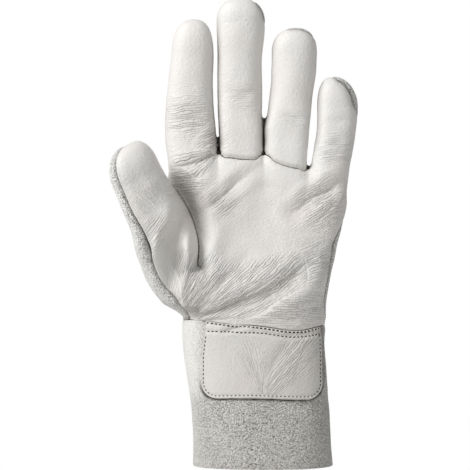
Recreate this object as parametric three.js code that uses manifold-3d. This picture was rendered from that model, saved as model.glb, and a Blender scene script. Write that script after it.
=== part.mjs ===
// A leather work glove for the left hand, shown as a hand fills it: fingers up, palm to the front.
// The palm side, the thumb front and the vein patch are smooth grain leather. The back of the hand,
// the back of the thumb and the cuff are suede. Every piece is a leather wall, and the glove is hollow
// from the open end of the cuff to each fingertip.
//
// Millimetres. X runs to the little finger's side, -Y out of the palm, +Z to the fingertips.
// The origin is the middle of the cuff's open end, where the hand goes in.

import * as THREE from 'three';
import { mergeVertices } from 'three/addons/utils/BufferGeometryUtils.js';
import Module from 'manifold-3d';

const wasm = await Module();
wasm.setup();

// Driving dimensions

const WALL = 1.6; // thickness of the leather
const SEAM_GAP = 0.3; // clearance between two pieces that are sewn edge to edge
const SEAM_BEHIND = 2.4; // how far the side seams lie behind the widest line of a finger
const HEM_Z = 75; // lower edge of the palm and back, tucked into the cuff
const GLOVE_LENGTH = 280;
const PATCH_WALL = 1.4;
const REACH = 110; // further from the middle line than any leather
const OVERSHOOT = 4; // how far a cutting form runs past the end that it opens

// How finely the walls are faceted: the folded front of the hand finer than its back.
const FRONT_FACETS = { palmSides: 40, palmRows: 21, fingerSides: 14, fingerRows: 7 };
const BACK_FACETS = { palmSides: 24, palmRows: 10, fingerSides: 14, fingerRows: 6 };
const THUMB_SIDES = 16;
const THUMB_ROWS = 10;
const CUFF_SIDES = 36;
const CUFF_ROWS = 7;
const TIP_ROWS = [0.36, 0.68, 0.92]; // shares of a rounded tip's height that get a section

// The hand's middle surface: it bends with height, and arches forward towards both edges of the palm.
const BEND = [
  { z: 57, y: 0 }, { z: 87, y: 0 }, { z: 137, y: 1 }, { z: 182, y: 2.5 },
  { z: 212, y: 2.5 }, { z: 242, y: -1 }, { z: 282, y: -8 },
];
const ARCH_DROP = 3.2; // at ARCH_SPAN from the middle
const ARCH_SPAN = 50;

// Palm and back of the hand, a section at each height: outer edges and depths from the middle surface.
const PALM = [
  { z: 71, left: -46.1, right: 34.9, front: 24.3, back: 22.3 },
  { z: 83, left: -46.5, right: 35.1, front: 24.0, back: 21.6 },
  { z: 90, left: -47.2, right: 36.0, front: 25.4, back: 22.2 },
  { z: 100, left: -47.4, right: 37.5, front: 26.2, back: 21.8 },
  { z: 115, left: -47.6, right: 40.3, front: 25.4, back: 20.6 },
  { z: 130, left: -48.4, right: 42.9, front: 22.8, back: 19.4 },
  { z: 145, left: -50.4, right: 45.3, front: 20.0, back: 18.2 },
  { z: 157, left: -53.0, right: 47.4, front: 18.0, back: 17.2 },
  { z: 167, left: -54.4, right: 48.6, front: 16.4, back: 16.2 },
];
const PALM_POWER = 2.35; // 2 is an ellipse, more is squarer
const PALM_DOME = 19; // height of the web that closes the palm between the fingers
// The top of that web, along the roots of the fingers.
const KNUCKLE_LINE = [
  { x: -60, z: 186 }, { x: -28, z: 187.5 }, { x: 0, z: 185.5 }, { x: 28, z: 180 }, { x: 60, z: 169 },
];

// Fingers, from inside the palm up to where the rounded tip starts.
const FINGERS = {
  index: {
    tip: 21, drift: 1, power: 2.1,
    rows: [
      { z: 138, x: -38.0, half: 8.0, depth: 7.0 },
      { z: 157, x: -40.6, half: 12.0, depth: 12.0 },
      { z: 169, x: -41.4, half: 14.2, depth: 13.8 },
      { z: 179, x: -42.3, half: 14.7, depth: 13.7 },
      { z: 200, x: -43.8, half: 14.9, depth: 13.0 },
      { z: 216, x: -44.1, half: 14.1, depth: 12.2 },
      { z: 230, x: -43.4, half: 13.2, depth: 11.8 },
      { z: 245, x: -42.2, half: 12.6, depth: 11.2 },
    ],
  },
  middle: {
    tip: 14.7, drift: 0, power: 2.3,
    rows: [
      { z: 145, x: -14.1, half: 8.0, depth: 9.0 },
      { z: 160, x: -14.1, half: 12.2, depth: 12.8 },
      { z: 173, x: -14.1, half: 13.0, depth: 14.2 },
      { z: 188, x: -14.1, half: 13.3, depth: 13.8 },
      { z: 218, x: -13.8, half: 13.6, depth: 12.6 },
      { z: 242, x: -14.1, half: 13.4, depth: 11.8 },
      { z: 257, x: -13.6, half: 14.3, depth: 11.6 },
      { z: 264, x: -13.2, half: 14.3, depth: 10.8 },
    ],
  },
  ring: {
    tip: 15.3, drift: 0.4, power: 2.3,
    rows: [
      { z: 141, x: 12.6, half: 8.0, depth: 9.0 },
      { z: 155, x: 13.0, half: 11.6, depth: 12.6 },
      { z: 167, x: 13.2, half: 12.6, depth: 13.8 },
      { z: 179, x: 13.3, half: 12.8, depth: 13.6 },
      { z: 190, x: 13.7, half: 13.3, depth: 13.2 },
      { z: 202, x: 14.5, half: 13.7, depth: 12.8 },
      { z: 216, x: 16.2, half: 13.4, depth: 12.2 },
      { z: 230, x: 18.0, half: 13.3, depth: 11.8 },
      { z: 246, x: 18.8, half: 13.8, depth: 11.0 },
    ],
  },
  little: {
    tip: 18.3, drift: -2.4, power: 2.15,
    rows: [
      { z: 130, x: 32.0, half: 7.5, depth: 7.0 },
      { z: 147, x: 35.8, half: 11.0, depth: 10.8 },
      { z: 161, x: 37.9, half: 11.9, depth: 12.0 },
      { z: 178, x: 40.4, half: 11.7, depth: 12.0 },
      { z: 189, x: 42.3, half: 11.9, depth: 11.8 },
      { z: 197, x: 43.6, half: 11.9, depth: 11.4 },
      { z: 211, x: 44.7, half: 12.3, depth: 10.8 },
      { z: 214, x: 44.7, half: 12.3, depth: 10.6 },
    ],
  },
};

// Thumb, from inside the heel of the hand to where the rounded tip starts: the middle of each section,
// half its width across the view, and half its depth. It stands in front of the palm.
const THUMB = [
  { x: -27.0, y: 3.0, z: 89, half: 15.0, depth: 17.0 },
  { x: -38.8, y: -5.0, z: 100.5, half: 17.6, depth: 18.5 },
  { x: -51.2, y: -12.0, z: 114.5, half: 18.4, depth: 18.0 },
  { x: -57.4, y: -18.0, z: 131, half: 18.2, depth: 16.8 },
  { x: -61.6, y: -23.0, z: 145, half: 17.6, depth: 15.4 },
  { x: -68.0, y: -27.5, z: 159, half: 16.5, depth: 13.8 },
  { x: -74.1, y: -31.0, z: 172, half: 15.1, depth: 12.4 },
];
const THUMB_TIP = 20.6;
const THUMB_TIP_DRIFT = 1.0;
// The thumb's two pieces meet on a line turned forward from its left edge, in degrees along the thumb.
const THUMB_SEAM = [
  { t: 0, turn: 50 }, { t: 0.25, turn: 55 }, { t: 0.42, turn: 62 }, { t: 0.83, turn: 50 }, { t: 1, turn: 30 },
];

// Cuff, a tube open at both ends.
const CUFF_POWER = 2.35;
const WRIST_Z = 85;
const CUFF = [
  { z: 0, left: -42.0, right: 42.0, front: 31.5, back: 31.5 },
  { z: 14, left: -42.1, right: 41.0, front: 31.0, back: 31.0 },
  { z: 34, left: -43.2, right: 39.9, front: 29.6, back: 29.6 },
  { z: 53, left: -46.0, right: 38.0, front: 28.0, back: 27.2 },
  { z: 72, left: -48.1, right: 36.9, front: 26.4, back: 24.4 },
  { z: 88, left: -48.7, right: 37.3, front: 26.0, back: 23.6 },
];
// Seen from the front, the line where the palm is sewn to the cuff and its patch.
const WRIST_LINE = [
  { x: -70, z: 86.0 }, { x: -35, z: 86.9 }, { x: -18.8, z: 84.9 }, { x: -7.4, z: 84.3 }, { x: 0.8, z: 83.4 },
  { x: 16.1, z: 81.2 }, { x: 23.1, z: 81.2 }, { x: 34.9, z: 83.4 }, { x: 70, z: 84.0 },
];
const PATCH = { left: -35.6, right: 34.4, bottom: 41.7, corner: 8.5 };

// Seams across the palm at the roots of the two middle fingers, seen from the front.
const MIDDLE_ROOT = [
  { x: -27.6, z: 187 }, { x: -24.5, z: 184.2 }, { x: -18.6, z: 183.1 }, { x: -9.2, z: 182.2 },
  { x: -3.2, z: 182.8 }, { x: -0.2, z: 185.2 },
];
const RING_ROOT = [
  { x: -0.2, z: 185.2 }, { x: 7.3, z: 180.7 }, { x: 11.7, z: 178.9 }, { x: 20.9, z: 176.8 },
  { x: 26.5, z: 176.5 }, { x: 28.2, z: 178.9 },
];
// The middle of the gap between each pair of fingers, from the root up.
const INDEX_MIDDLE_GAP = [
  { x: -27.6, z: 187 }, { x: -28.8, z: 205 }, { x: -28.8, z: 245 }, { x: -31, z: 300 },
];
const MIDDLE_RING_GAP = [
  { x: -0.2, z: 185.2 }, { x: -0.2, z: 205 }, { x: 1.2, z: 225 }, { x: 2.6, z: 245 }, { x: 3, z: 300 },
];
const RING_LITTLE_GAP = [
  { x: 28.2, z: 178.9 }, { x: 31, z: 212 }, { x: 32.6, z: 225 }, { x: 38, z: 240 }, { x: 40, z: 300 },
];

// Main folds of the palm, from start through middle to end, as valleys of a depth and a half width.
const FOLDS = [
  { name: 'heel', from: [-45, 87], through: [-6, 97], to: [37, 118], depth: 3.0, width: 3.8 },
  { name: 'heel_upper', from: [-43, 92], through: [-8, 106], to: [20, 118], depth: 1.3, width: 3.0 },
  { name: 'thumb_ball', from: [-43, 89], through: [-24, 104], to: [-12, 135], depth: 2.3, width: 4.4 },
  { name: 'index_root', from: [-52, 175], through: [-38, 174], to: [-28, 185], depth: 2.0, width: 3.4 },
  { name: 'upper_palm', from: [-1, 180], through: [-18, 169], to: [-38, 150], depth: 1.9, width: 4.2 },
  { name: 'little_root', from: [48, 173], through: [38, 161], to: [17, 149], depth: 2.5, width: 4.6 },
  { name: 'centre', from: [0.5, 181], through: [1.5, 170], to: [1, 157], depth: 1.3, width: 4.4 },
  { name: 'web', from: [-54, 165], through: [-46, 153], to: [-40, 125], depth: 2.6, width: 7.0 },
];
// The hollow of the palm, a wide shallow dent.
const HOLLOW = { x: -8, z: 145, across: 26, along: 34, depth: 2.2 };

const GRAIN_COLOUR = 0xe6e4df;
const SUEDE_COLOUR = 0xcfccc5;

// Tables

// A smooth curve through a table's rows: gives every column of the table at any key.
function curveOf(rows, key) {
  const columns = Object.keys(rows[0]).filter((name) => name !== key);
  const keys = rows.map((row) => row[key]);
  const values = rows.flatMap((row) => columns.map((name) => row[name]));
  const curve = new THREE.CubicInterpolant(keys, values, columns.length);
  return (at) => {
    const found = curve.evaluate(at);
    return Object.fromEntries(columns.map((name, i) => [name, found[i]]));
  };
}

function evenly(low, high, count) {
  return Array.from({ length: count }, (_, i) => low + ((high - low) * i) / (count - 1));
}

// Solids

// A closed solid through rings of points that run anticlockwise seen from the last ring. Each end is
// closed by a fan round its own middle, or round the given tip.
function solidThroughRings(rings, tip) {
  const sides = rings[0].length;
  const middleOf = (ring) => ring.reduce((sum, p) => sum.add(p), new THREE.Vector3()).divideScalar(sides);
  const points = [...rings.flat(), middleOf(rings[0]), tip ?? middleOf(rings[rings.length - 1])];
  const first = rings.length * sides;
  const last = first + 1;
  const top = (rings.length - 1) * sides;
  const faces = [];
  for (let k = 0; k < sides; k++) {
    const next = (k + 1) % sides;
    for (let r = 0; r < rings.length - 1; r++) {
      const below = r * sides;
      const above = below + sides;
      faces.push(below + k, below + next, above + next, below + k, above + next, above + k);
    }
    faces.push(first, next, k, last, top + k, top + next);
  }
  return toManifold(points.flatMap((p) => [p.x, p.y, p.z]), faces);
}

function toManifold(positions, faces) {
  return new wasm.Manifold(new wasm.Mesh({
    numProp: 3,
    vertProperties: new Float32Array(positions),
    triVerts: new Uint32Array(faces),
  }));
}

// A flat outline in the XZ plane, pushed back from in front of the glove as far as a given Y.
function frontPrism(outline, behind) {
  const shape = new THREE.Shape(outline.map((p) => new THREE.Vector2(p.x, p.z)));
  const extruded = new THREE.ExtrudeGeometry(shape, { depth: behind + REACH, bevelEnabled: false });
  extruded.rotateX(Math.PI / 2).translate(0, behind, 0);
  extruded.deleteAttribute('normal');
  extruded.deleteAttribute('uv');
  const merged = mergeVertices(extruded);
  return toManifold(merged.attributes.position.array, merged.index.array);
}

function joined(solids) {
  return solids.reduce((sum, solid) => sum.add(solid));
}

// The hand without its thumb

const bendAt = curveOf(BEND, 'z');

function middleSurface(x, z) {
  return bendAt(z).y - ARCH_DROP * (x / ARCH_SPAN) ** 2;
}

// Shortest distance from (x, z) to a fold's line, and how far along the line it is.
function alongFold(fold, x, z) {
  const points = fold.line ??= new THREE.QuadraticBezierCurve(
    new THREE.Vector2(...fold.from),
    new THREE.Vector2(
      2 * fold.through[0] - (fold.from[0] + fold.to[0]) / 2,
      2 * fold.through[1] - (fold.from[1] + fold.to[1]) / 2,
    ),
    new THREE.Vector2(...fold.to),
  ).getPoints(24);
  let nearest = { distance: Infinity, share: 0 };
  points.forEach((p, i) => {
    const distance = Math.hypot(p.x - x, p.y - z);
    if (distance < nearest.distance) nearest = { distance, share: i / (points.length - 1) };
  });
  return nearest;
}

// How far the palm's front is pushed in by its folds and by the hollow of the hand.
function pushedIn(x, z) {
  const hollow = Math.exp(-(((x - HOLLOW.x) / HOLLOW.across) ** 2) - ((z - HOLLOW.z) / HOLLOW.along) ** 2);
  return FOLDS.reduce((sum, fold) => {
    const { distance, share } = alongFold(fold, x, z);
    const fade = Math.sqrt(Math.sin(Math.PI * (0.06 + 0.88 * share)));
    return sum + fold.depth * fade * Math.exp(-((distance / fold.width) ** 2));
  }, HOLLOW.depth * hollow);
}

// One ring of the hand at a height, with rounded-square corners set by the power. The points are
// spread so that a wide flat ring gets even steps, and lift tilts or bends the ring upwards.
function handRing({ z, left, right, front, back, sides, power, folded = 0, lift = () => z }) {
  const half = (right - left) / 2;
  const spread = ((2 * half) / (front + back)) ** 0.25;
  return Array.from({ length: sides }, (_, k) => {
    const angle = (2 * Math.PI * k) / sides;
    const [c, s] = [Math.cos(angle) / spread, Math.sin(angle) * spread];
    const reach = (Math.abs(c) ** power + Math.abs(s) ** power) ** (-1 / power);
    const x = (right + left) / 2 + half * c * reach;
    const y = (s < 0 ? front : back) * s * reach;
    const height = lift(x);
    const push = s < 0 ? folded * pushedIn(x, height) * Math.min(1, -1.6 * s * reach) : 0;
    return new THREE.Vector3(x, y + push + middleSurface(x, height), height);
  });
}

// The palm's form, grown outwards by a margin: minus the wall's thickness gives its hollow.
function palmForm(grown, lowest, facets) {
  const at = curveOf(PALM, 'z');
  const knucklesAt = curveOf(KNUCKLE_LINE, 'x');
  const top = PALM[PALM.length - 1].z;
  const rings = evenly(lowest, top, facets.palmRows).map((z) => ({ z, shrink: 1 }));
  const height = PALM_DOME + grown;
  TIP_ROWS.forEach((share) => rings.push({ z: top + share * height, shrink: Math.sqrt(1 - share ** 2) }));
  return solidThroughRings(rings.map(({ z, shrink }) => {
    const row = at(Math.min(z, top));
    const inset = (1 - shrink) * row.front;
    return handRing({
      z,
      left: row.left - grown + inset,
      right: row.right + grown - inset,
      front: (row.front + grown) * shrink,
      back: (row.back + grown) * shrink,
      sides: facets.palmSides,
      power: PALM_POWER,
      folded: shrink,
      lift: (x) => lowest + ((z - lowest) * (knucklesAt(x).z - lowest)) / (top + PALM_DOME - lowest),
    });
  }));
}

function fingerForm({ rows, tip, drift, power }, grown, facets) {
  const at = curveOf(rows, 'z');
  const top = rows[rows.length - 1].z;
  const height = tip + grown;
  const sides = facets.fingerSides;
  const levels = evenly(rows[0].z, top, facets.fingerRows).map((z) => ({ z, shrink: 1, share: 0 }));
  TIP_ROWS.forEach((share) => {
    levels.push({ z: top + share * height, shrink: (1 - share ** power) ** (1 / power), share });
  });
  const rings = levels.map(({ z, shrink, share }) => {
    const row = at(Math.min(z, top));
    const x = row.x + drift * share ** 2;
    const half = (row.half + grown) * shrink;
    const depth = (row.depth + grown) * shrink;
    return handRing({ z, left: x - half, right: x + half, front: depth, back: depth, sides, power });
  });
  const tipX = at(top).x + drift;
  return solidThroughRings(rings, new THREE.Vector3(tipX, middleSurface(tipX, top + height), top + height));
}

function handForm(grown, lowest, facets) {
  const fingers = Object.values(FINGERS).map((finger) => fingerForm(finger, grown, facets));
  return joined([palmForm(grown, lowest, facets), ...fingers]);
}

// The hand's leather wall, open at the wrist and into the thumb.
function handWall(facets, thumbHollow) {
  const hollow = handForm(-WALL, HEM_Z - OVERSHOOT, facets).add(thumbHollow);
  return handForm(0, HEM_Z, facets).subtract(hollow);
}

// Everything in front of the side seams, moved forward or back by a shift.
function inFrontOfSeams(shift) {
  const columns = evenly(REACH, -REACH, 12);
  return solidThroughRings(evenly(HEM_Z - OVERSHOOT, GLOVE_LENGTH, 13).map((z) => [
    new THREE.Vector3(-REACH, -REACH, z),
    new THREE.Vector3(REACH, -REACH, z),
    ...columns.map((x) => new THREE.Vector3(x, middleSurface(x, z) + SEAM_BEHIND + shift, z)),
  ]));
}

// The thumb

const thumbPath = new THREE.CatmullRomCurve3(
  THUMB.map((row) => new THREE.Vector3(row.x, row.y, row.z)), false, 'centripetal',
);
const thumbSizes = curveOf(THUMB.map((row, i) => ({
  t: i / (THUMB.length - 1), half: row.half, depth: row.depth,
})), 't');
const thumbSeam = curveOf(THUMB_SEAM, 't');

// A section's own directions: across the view, away from the viewer, and along the thumb.
function thumbFrame(t) {
  const along = thumbPath.getTangent(t);
  const across = new THREE.Vector3(0, 1, 0).cross(along).normalize();
  const away = new THREE.Vector3().crossVectors(along, across).normalize();
  return { middle: thumbPath.getPoint(t), along, across, away };
}

// The thumb's sections, with the rounded tip, as the places where rings go.
function thumbLevels(grown) {
  const levels = evenly(0, 1, THUMB_ROWS).map((t) => ({ ...thumbFrame(t), t, shrink: 1 }));
  const end = thumbFrame(1);
  const height = THUMB_TIP + grown;
  TIP_ROWS.forEach((share) => {
    const middle = end.middle.clone()
      .addScaledVector(end.along, share * height)
      .addScaledVector(end.across, THUMB_TIP_DRIFT * share ** 2);
    levels.push({ ...end, middle, t: 1, shrink: Math.sqrt(1 - share ** 2) });
  });
  const tip = end.middle.clone()
    .addScaledVector(end.along, height)
    .addScaledVector(end.across, THUMB_TIP_DRIFT);
  return { levels, tip };
}

function thumbForm(grown) {
  const { levels, tip } = thumbLevels(grown);
  return solidThroughRings(levels.map(({ middle, across, away, t, shrink }) => {
    const { half, depth } = thumbSizes(t);
    return Array.from({ length: THUMB_SIDES }, (_, k) => {
      const angle = (2 * Math.PI * k) / THUMB_SIDES;
      return middle.clone()
        .addScaledVector(across, (half + grown) * shrink * Math.cos(angle))
        .addScaledVector(away, (depth + grown) * shrink * Math.sin(angle));
    });
  }), tip);
}

// Everything on the grain side of the thumb's seams, moved towards or away from the viewer by a shift.
function inFrontOfThumbSeams(shift) {
  const reach = 25; // past the thumb's thickest part
  const { levels, tip } = thumbLevels(0);
  const end = levels[levels.length - 1];
  levels.push({ ...end, middle: tip.clone().addScaledVector(end.along, OVERSHOOT) });
  return solidThroughRings(levels.map(({ middle, across, away, t }) => {
    const turn = THREE.MathUtils.degToRad(thumbSeam(t).turn);
    const left = across.clone().multiplyScalar(-Math.cos(turn)).addScaledVector(away, -Math.sin(turn));
    const behind = across.clone().multiplyScalar(-Math.sin(turn)).addScaledVector(away, Math.cos(turn));
    const corner = (l, b) => middle.clone().addScaledVector(left, l).addScaledVector(behind, b);
    return [corner(-reach, shift), corner(reach, shift), corner(reach, -reach), corner(-reach, -reach)];
  }));
}

// Cuff and patch

const wristAt = curveOf(WRIST_LINE, 'x');

// A length of the cuff's tube, whose rings rise with the wrist line as they near it.
function cuffForm(grown, low, high) {
  const at = curveOf(CUFF, 'z');
  return solidThroughRings(evenly(low, high, CUFF_ROWS).map((z) => {
    const { left, right, front, back } = at(z);
    return handRing({
      z,
      left: left - grown,
      right: right + grown,
      front: front + grown,
      back: back + grown,
      sides: CUFF_SIDES,
      power: CUFF_POWER,
      lift: (x) => (z * wristAt(x).z) / WRIST_Z,
    });
  }));
}

function patchOutline() {
  const { left, right, bottom, corner } = PATCH;
  const cut = corner * (1 - Math.SQRT1_2);
  return frontPrism([
    { x: left, z: HEM_Z + corner * 2 }, { x: left, z: bottom + corner }, { x: left + cut, z: bottom + cut },
    { x: left + corner, z: bottom }, { x: right - corner, z: bottom },
    { x: right - cut, z: bottom + cut }, { x: right, z: bottom + corner }, { x: right, z: HEM_Z + corner * 2 },
  ], 0);
}

// The front of a middle finger: above the seam at its root, between the gaps beside it.
function fingerFrontZone(root, leftGap, rightGap, grown) {
  const base = root.map(({ x, z }) => ({ x, z: z - grown }));
  const right = rightGap.map(({ x, z }) => ({ x: x + grown, z: z - grown }));
  const left = leftGap.map(({ x, z }) => ({ x: x - grown, z: z - grown }));
  return frontPrism([...base.slice(1, -1), ...right, ...left.reverse()], FINGERS.middle.rows[0].depth);
}

// The pieces

const thumbHollow = thumbForm(-WALL);
const handRoom = handForm(SEAM_GAP, HEM_Z - OVERSHOOT, BACK_FACETS)
  .add(handForm(SEAM_GAP, HEM_Z - OVERSHOOT, FRONT_FACETS));
const handFront = handWall(FRONT_FACETS, thumbHollow).intersect(inFrontOfSeams(-SEAM_GAP / 2));
const belowWrist = cuffForm(THUMB[0].half, PATCH.bottom, WRIST_Z)
  .add(cuffForm(SEAM_GAP, PATCH.bottom, WRIST_Z + SEAM_GAP));
const thumbWall = thumbForm(0).subtract(thumbHollow).subtract(handRoom).subtract(belowWrist);

const middleRoot = [MIDDLE_ROOT, INDEX_MIDDLE_GAP, MIDDLE_RING_GAP];
const ringRoot = [RING_ROOT, MIDDLE_RING_GAP, RING_LITTLE_GAP];

const pieces = {
  palm: handFront
    .subtract(fingerFrontZone(...middleRoot, SEAM_GAP / 2))
    .subtract(fingerFrontZone(...ringRoot, SEAM_GAP / 2)),
  middle_finger_front: handFront.intersect(fingerFrontZone(...middleRoot, -SEAM_GAP / 2)),
  ring_finger_front: handFront.intersect(fingerFrontZone(...ringRoot, -SEAM_GAP / 2)),
  hand_back: handWall(BACK_FACETS, thumbHollow).subtract(inFrontOfSeams(SEAM_GAP / 2)),
  thumb_front: thumbWall.intersect(inFrontOfThumbSeams(-SEAM_GAP / 2)),
  thumb_back: thumbWall.subtract(inFrontOfThumbSeams(SEAM_GAP / 2)),
  cuff: cuffForm(0, 0, WRIST_Z).subtract(cuffForm(-WALL, -OVERSHOOT, WRIST_Z + OVERSHOOT)),
  vein_patch: cuffForm(SEAM_GAP + PATCH_WALL, PATCH.bottom - OVERSHOOT, WRIST_Z)
    .subtract(cuffForm(SEAM_GAP, PATCH.bottom - 2 * OVERSHOOT, WRIST_Z + OVERSHOOT))
    .intersect(patchOutline()),
};

const grainLeather = new THREE.MeshStandardMaterial({ color: GRAIN_COLOUR, roughness: 0.55, metalness: 0 });
const suede = new THREE.MeshStandardMaterial({ color: SUEDE_COLOUR, roughness: 0.95, metalness: 0 });
const SUEDE_PIECES = ['hand_back', 'thumb_back', 'cuff'];

const glove = new THREE.Group();
for (const [name, solid] of Object.entries(pieces)) {
  const { vertProperties, triVerts } = solid.getMesh();
  const geometry = new THREE.BufferGeometry();
  geometry.setAttribute('position', new THREE.BufferAttribute(vertProperties, 3));
  geometry.setIndex(new THREE.BufferAttribute(triVerts, 1));
  geometry.computeVertexNormals();
  const mesh = new THREE.Mesh(geometry, SUEDE_PIECES.includes(name) ? suede : grainLeather);
  mesh.name = name;
  glove.add(mesh);
}

export default glove;
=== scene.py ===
import math

import bpy
import numpy as np
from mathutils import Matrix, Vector


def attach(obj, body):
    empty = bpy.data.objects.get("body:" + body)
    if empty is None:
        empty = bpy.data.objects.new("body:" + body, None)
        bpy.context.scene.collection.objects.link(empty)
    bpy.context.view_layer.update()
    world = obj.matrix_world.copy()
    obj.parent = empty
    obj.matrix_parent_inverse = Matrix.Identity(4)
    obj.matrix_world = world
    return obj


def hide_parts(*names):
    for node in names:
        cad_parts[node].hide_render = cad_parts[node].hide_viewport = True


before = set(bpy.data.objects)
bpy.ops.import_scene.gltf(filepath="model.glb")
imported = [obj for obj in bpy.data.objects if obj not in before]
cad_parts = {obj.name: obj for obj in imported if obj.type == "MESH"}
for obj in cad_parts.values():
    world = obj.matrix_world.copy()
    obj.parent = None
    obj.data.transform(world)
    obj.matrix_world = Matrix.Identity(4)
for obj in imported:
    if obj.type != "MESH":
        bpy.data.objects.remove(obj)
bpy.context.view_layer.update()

# Palm
# The palm side of the hand, with the fronts of the index and little fingers in one piece with it.
# It is smooth grain leather, cut flat, creased by the hand inside, and sewn edge to edge to the
# pieces round it, each edge turned in at its seam. All sizes are in mm, in the glove's own frame.

WALL = 1.6  # thickness of the leather
STEP = 0.84
OVAL = 2.35  # squareness of the palm's, wrist's and cuff's ovals, where 2 is an ellipse


def curve(keys, values):
    """A smooth curve that has these values at these keys, as a function."""
    keys, values = np.array(keys, float), np.array(values, float)
    gaps = np.diff(keys)
    slopes = np.diff(values) / gaps
    inner = (slopes[1:] * gaps[:-1] + slopes[:-1] * gaps[1:]) / (gaps[:-1] + gaps[1:])
    steep = np.concatenate([slopes[:1], inner, slopes[-1:]])
    at = np.linspace(keys[0], keys[-1], 600)
    i = np.clip(np.searchsorted(keys, at) - 1, 0, len(keys) - 2)
    t = (at - keys[i]) / gaps[i]
    found = (2 * t**3 - 3 * t**2 + 1) * values[i] + (3 * t**2 - 2 * t**3) * values[i + 1]
    found += ((t**3 - 2 * t**2 + t) * steep[i] + (t**3 - t**2) * steep[i + 1]) * gaps[i]
    return lambda x: np.interp(x, at, found)


def curves(rows):
    """One smooth curve for each column of a table, over its first column."""
    columns = np.array(rows, float).T
    return [curve(columns[0], column) for column in columns[1:]]


# Depth of the hand's middle over its height: the fingers bend forward towards their tips.
bend = curve([57, 87, 137, 182, 212, 242, 282], [0, 0, 1, 2.5, 2.5, -1, -8])


PALM_ARCH = 3.2  # how far the palm's edges come forward, 50 mm from its middle


def middle(x, z):
    """Depth of the hand's middle surface, arched forward at both edges of the palm."""
    return bend(z) - PALM_ARCH * (x / 50) ** 2


def rounded(u, v, w, power, half, depth, height):
    """Distance to a rounded-square form. Its own coordinates reach 1 at its surface, half, depth and
    height mm from its middle."""
    a, b, c = np.abs(u), np.abs(v), np.abs(w)
    r = (a**power + b**power + c**power) ** (1 / power) + 1e-5
    k = power - 1
    steep = np.sqrt(((a / r) ** k / half) ** 2 + ((b / r) ** k / depth) ** 2 + ((c / r) ** k / height) ** 2)
    return (r - 1) / np.maximum(steep, 1 / 80)  # in its middle a form counts as 80 mm wide


# Height of the wrist seam from left to right.
wrist_line = curve(
    [-70, -35, -18.8, -7.4, 0.8, 16.1, 23.1, 34.9, 70], [86, 86.9, 84.9, 84.3, 83.4, 81.2, 81.2, 83.4, 84])


def smooth_min(a, b, reach):
    """The smaller of two distances, rounded where they differ by less than reach."""
    share = np.maximum(reach - np.abs(a - b), 0) / reach
    return np.minimum(a, b) - share * share * reach / 4


def ramp(low, high, x):
    """A soft step from 0 at low to 1 at high."""
    t = np.clip((x - low) / (high - low), 0, 1)
    return t * t * (3 - 2 * t)


def nearness(distance, width):
    """1 at no distance, a third at this width, and next to nothing at twice the width."""
    return np.exp(-((distance / width) ** 2))


# Sections of the palm: height, left and right edge, and depth to the front and to the back.
PALM = [
    (71, -50.0, 38.6, 28.4, 25.5), (83, -49.6, 38.0, 28.2, 25.0), (90, -48.8, 37.6, 28.2, 23.8),
    (100, -47.8, 37.9, 27.4, 22.0), (115, -47.6, 40.3, 25.6, 20.6), (130, -48.4, 42.9, 22.8, 19.4),
    (145, -50.4, 45.3, 20.0, 18.2), (157, -53.0, 47.4, 18.0, 17.2), (167, -54.4, 48.6, 16.4, 16.2),
]
PALM_AT = curves(PALM)
# Where the sections start and end, how far the palm rounds off above them, and the height of the
# web between the fingers, to which the sections are stretched.
PALM_LOW, PALM_TOP, WEB_HEIGHT = 75, 167, 19
web_top = curve([-60, -28, 0, 28, 60], [186, 187.5, 185.5, 180, 169])

# Each finger: rounded tip's height and sideways drift, squareness, and its sections from inside the
# palm up: height, middle, half width and half depth.
FINGERS = {
    "index": (21, 1, 2.3, [
        (138, -38.0, 8.0, 7.0), (157, -40.6, 12.0, 12.0), (169, -41.3, 14.4, 13.8),
        (179, -41.9, 15.1, 13.7), (200, -43.4, 15.3, 13.0), (216, -43.8, 14.4, 12.2),
        (230, -43.2, 13.4, 11.8), (245, -42.2, 12.7, 11.2)]),
    "middle": (14.7, 0, 2.3, [
        (145, -14.1, 8.0, 9.0), (160, -14.1, 12.2, 12.8), (173, -13.4, 13.3, 14.2),
        (188, -13.2, 13.5, 13.8), (200, -13.4, 13.6, 13.3), (218, -14.1, 14.1, 12.6),
        (242, -14.2, 13.7, 11.8), (257, -13.6, 14.5, 11.6), (264, -13.2, 14.4, 10.8)]),
    "ring": (15.3, 0.4, 2.3, [
        (141, 12.6, 8.0, 9.0), (155, 13.0, 11.6, 12.6), (167, 13.3, 12.8, 13.8), (179, 13.4, 13.0, 13.6),
        (190, 13.9, 13.4, 13.2), (202, 14.4, 13.8, 12.8), (216, 16.2, 13.4, 12.2), (230, 18.0, 13.3, 11.8),
        (246, 18.8, 13.8, 11.0)]),
    "little": (18.3, -2.4, 2.15, [
        (130, 32.0, 7.5, 7.0), (147, 35.8, 11.0, 10.8), (161, 37.9, 11.9, 12.0), (178, 40.4, 11.7, 12.0),
        (189, 42.3, 11.9, 11.8), (197, 43.6, 11.9, 11.4), (211, 44.7, 12.3, 10.8), (214, 44.7, 12.3, 10.6)]),
}
FINGERS_AT = {
    name: (tip, drift, power, rows[0][0], rows[-1][0], curves(rows))
    for name, (tip, drift, power, rows) in FINGERS.items()
}
# How far each finger's face is turned to the right, and how much squarer it is towards its root.
FINGER_TURN = {"index": -0.08, "middle": 0, "ring": 0.03, "little": 0.22}
FINGER_SQUARER = {"index": 0.5, "middle": 1.1, "ring": 1.1, "little": 0.5}
# Heights below which a web joins each finger to the one on its left.
WEBS = {"middle": 195, "ring": 207, "little": 181}
# The waist under the wrist seam: its middle, half its width, and its depth to the front and back.
WAIST_MIDDLE, WAIST_HALF, WAIST_FRONT, WAIST_BACK = -5.7, 42.9, 25.4, 23.7


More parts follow.
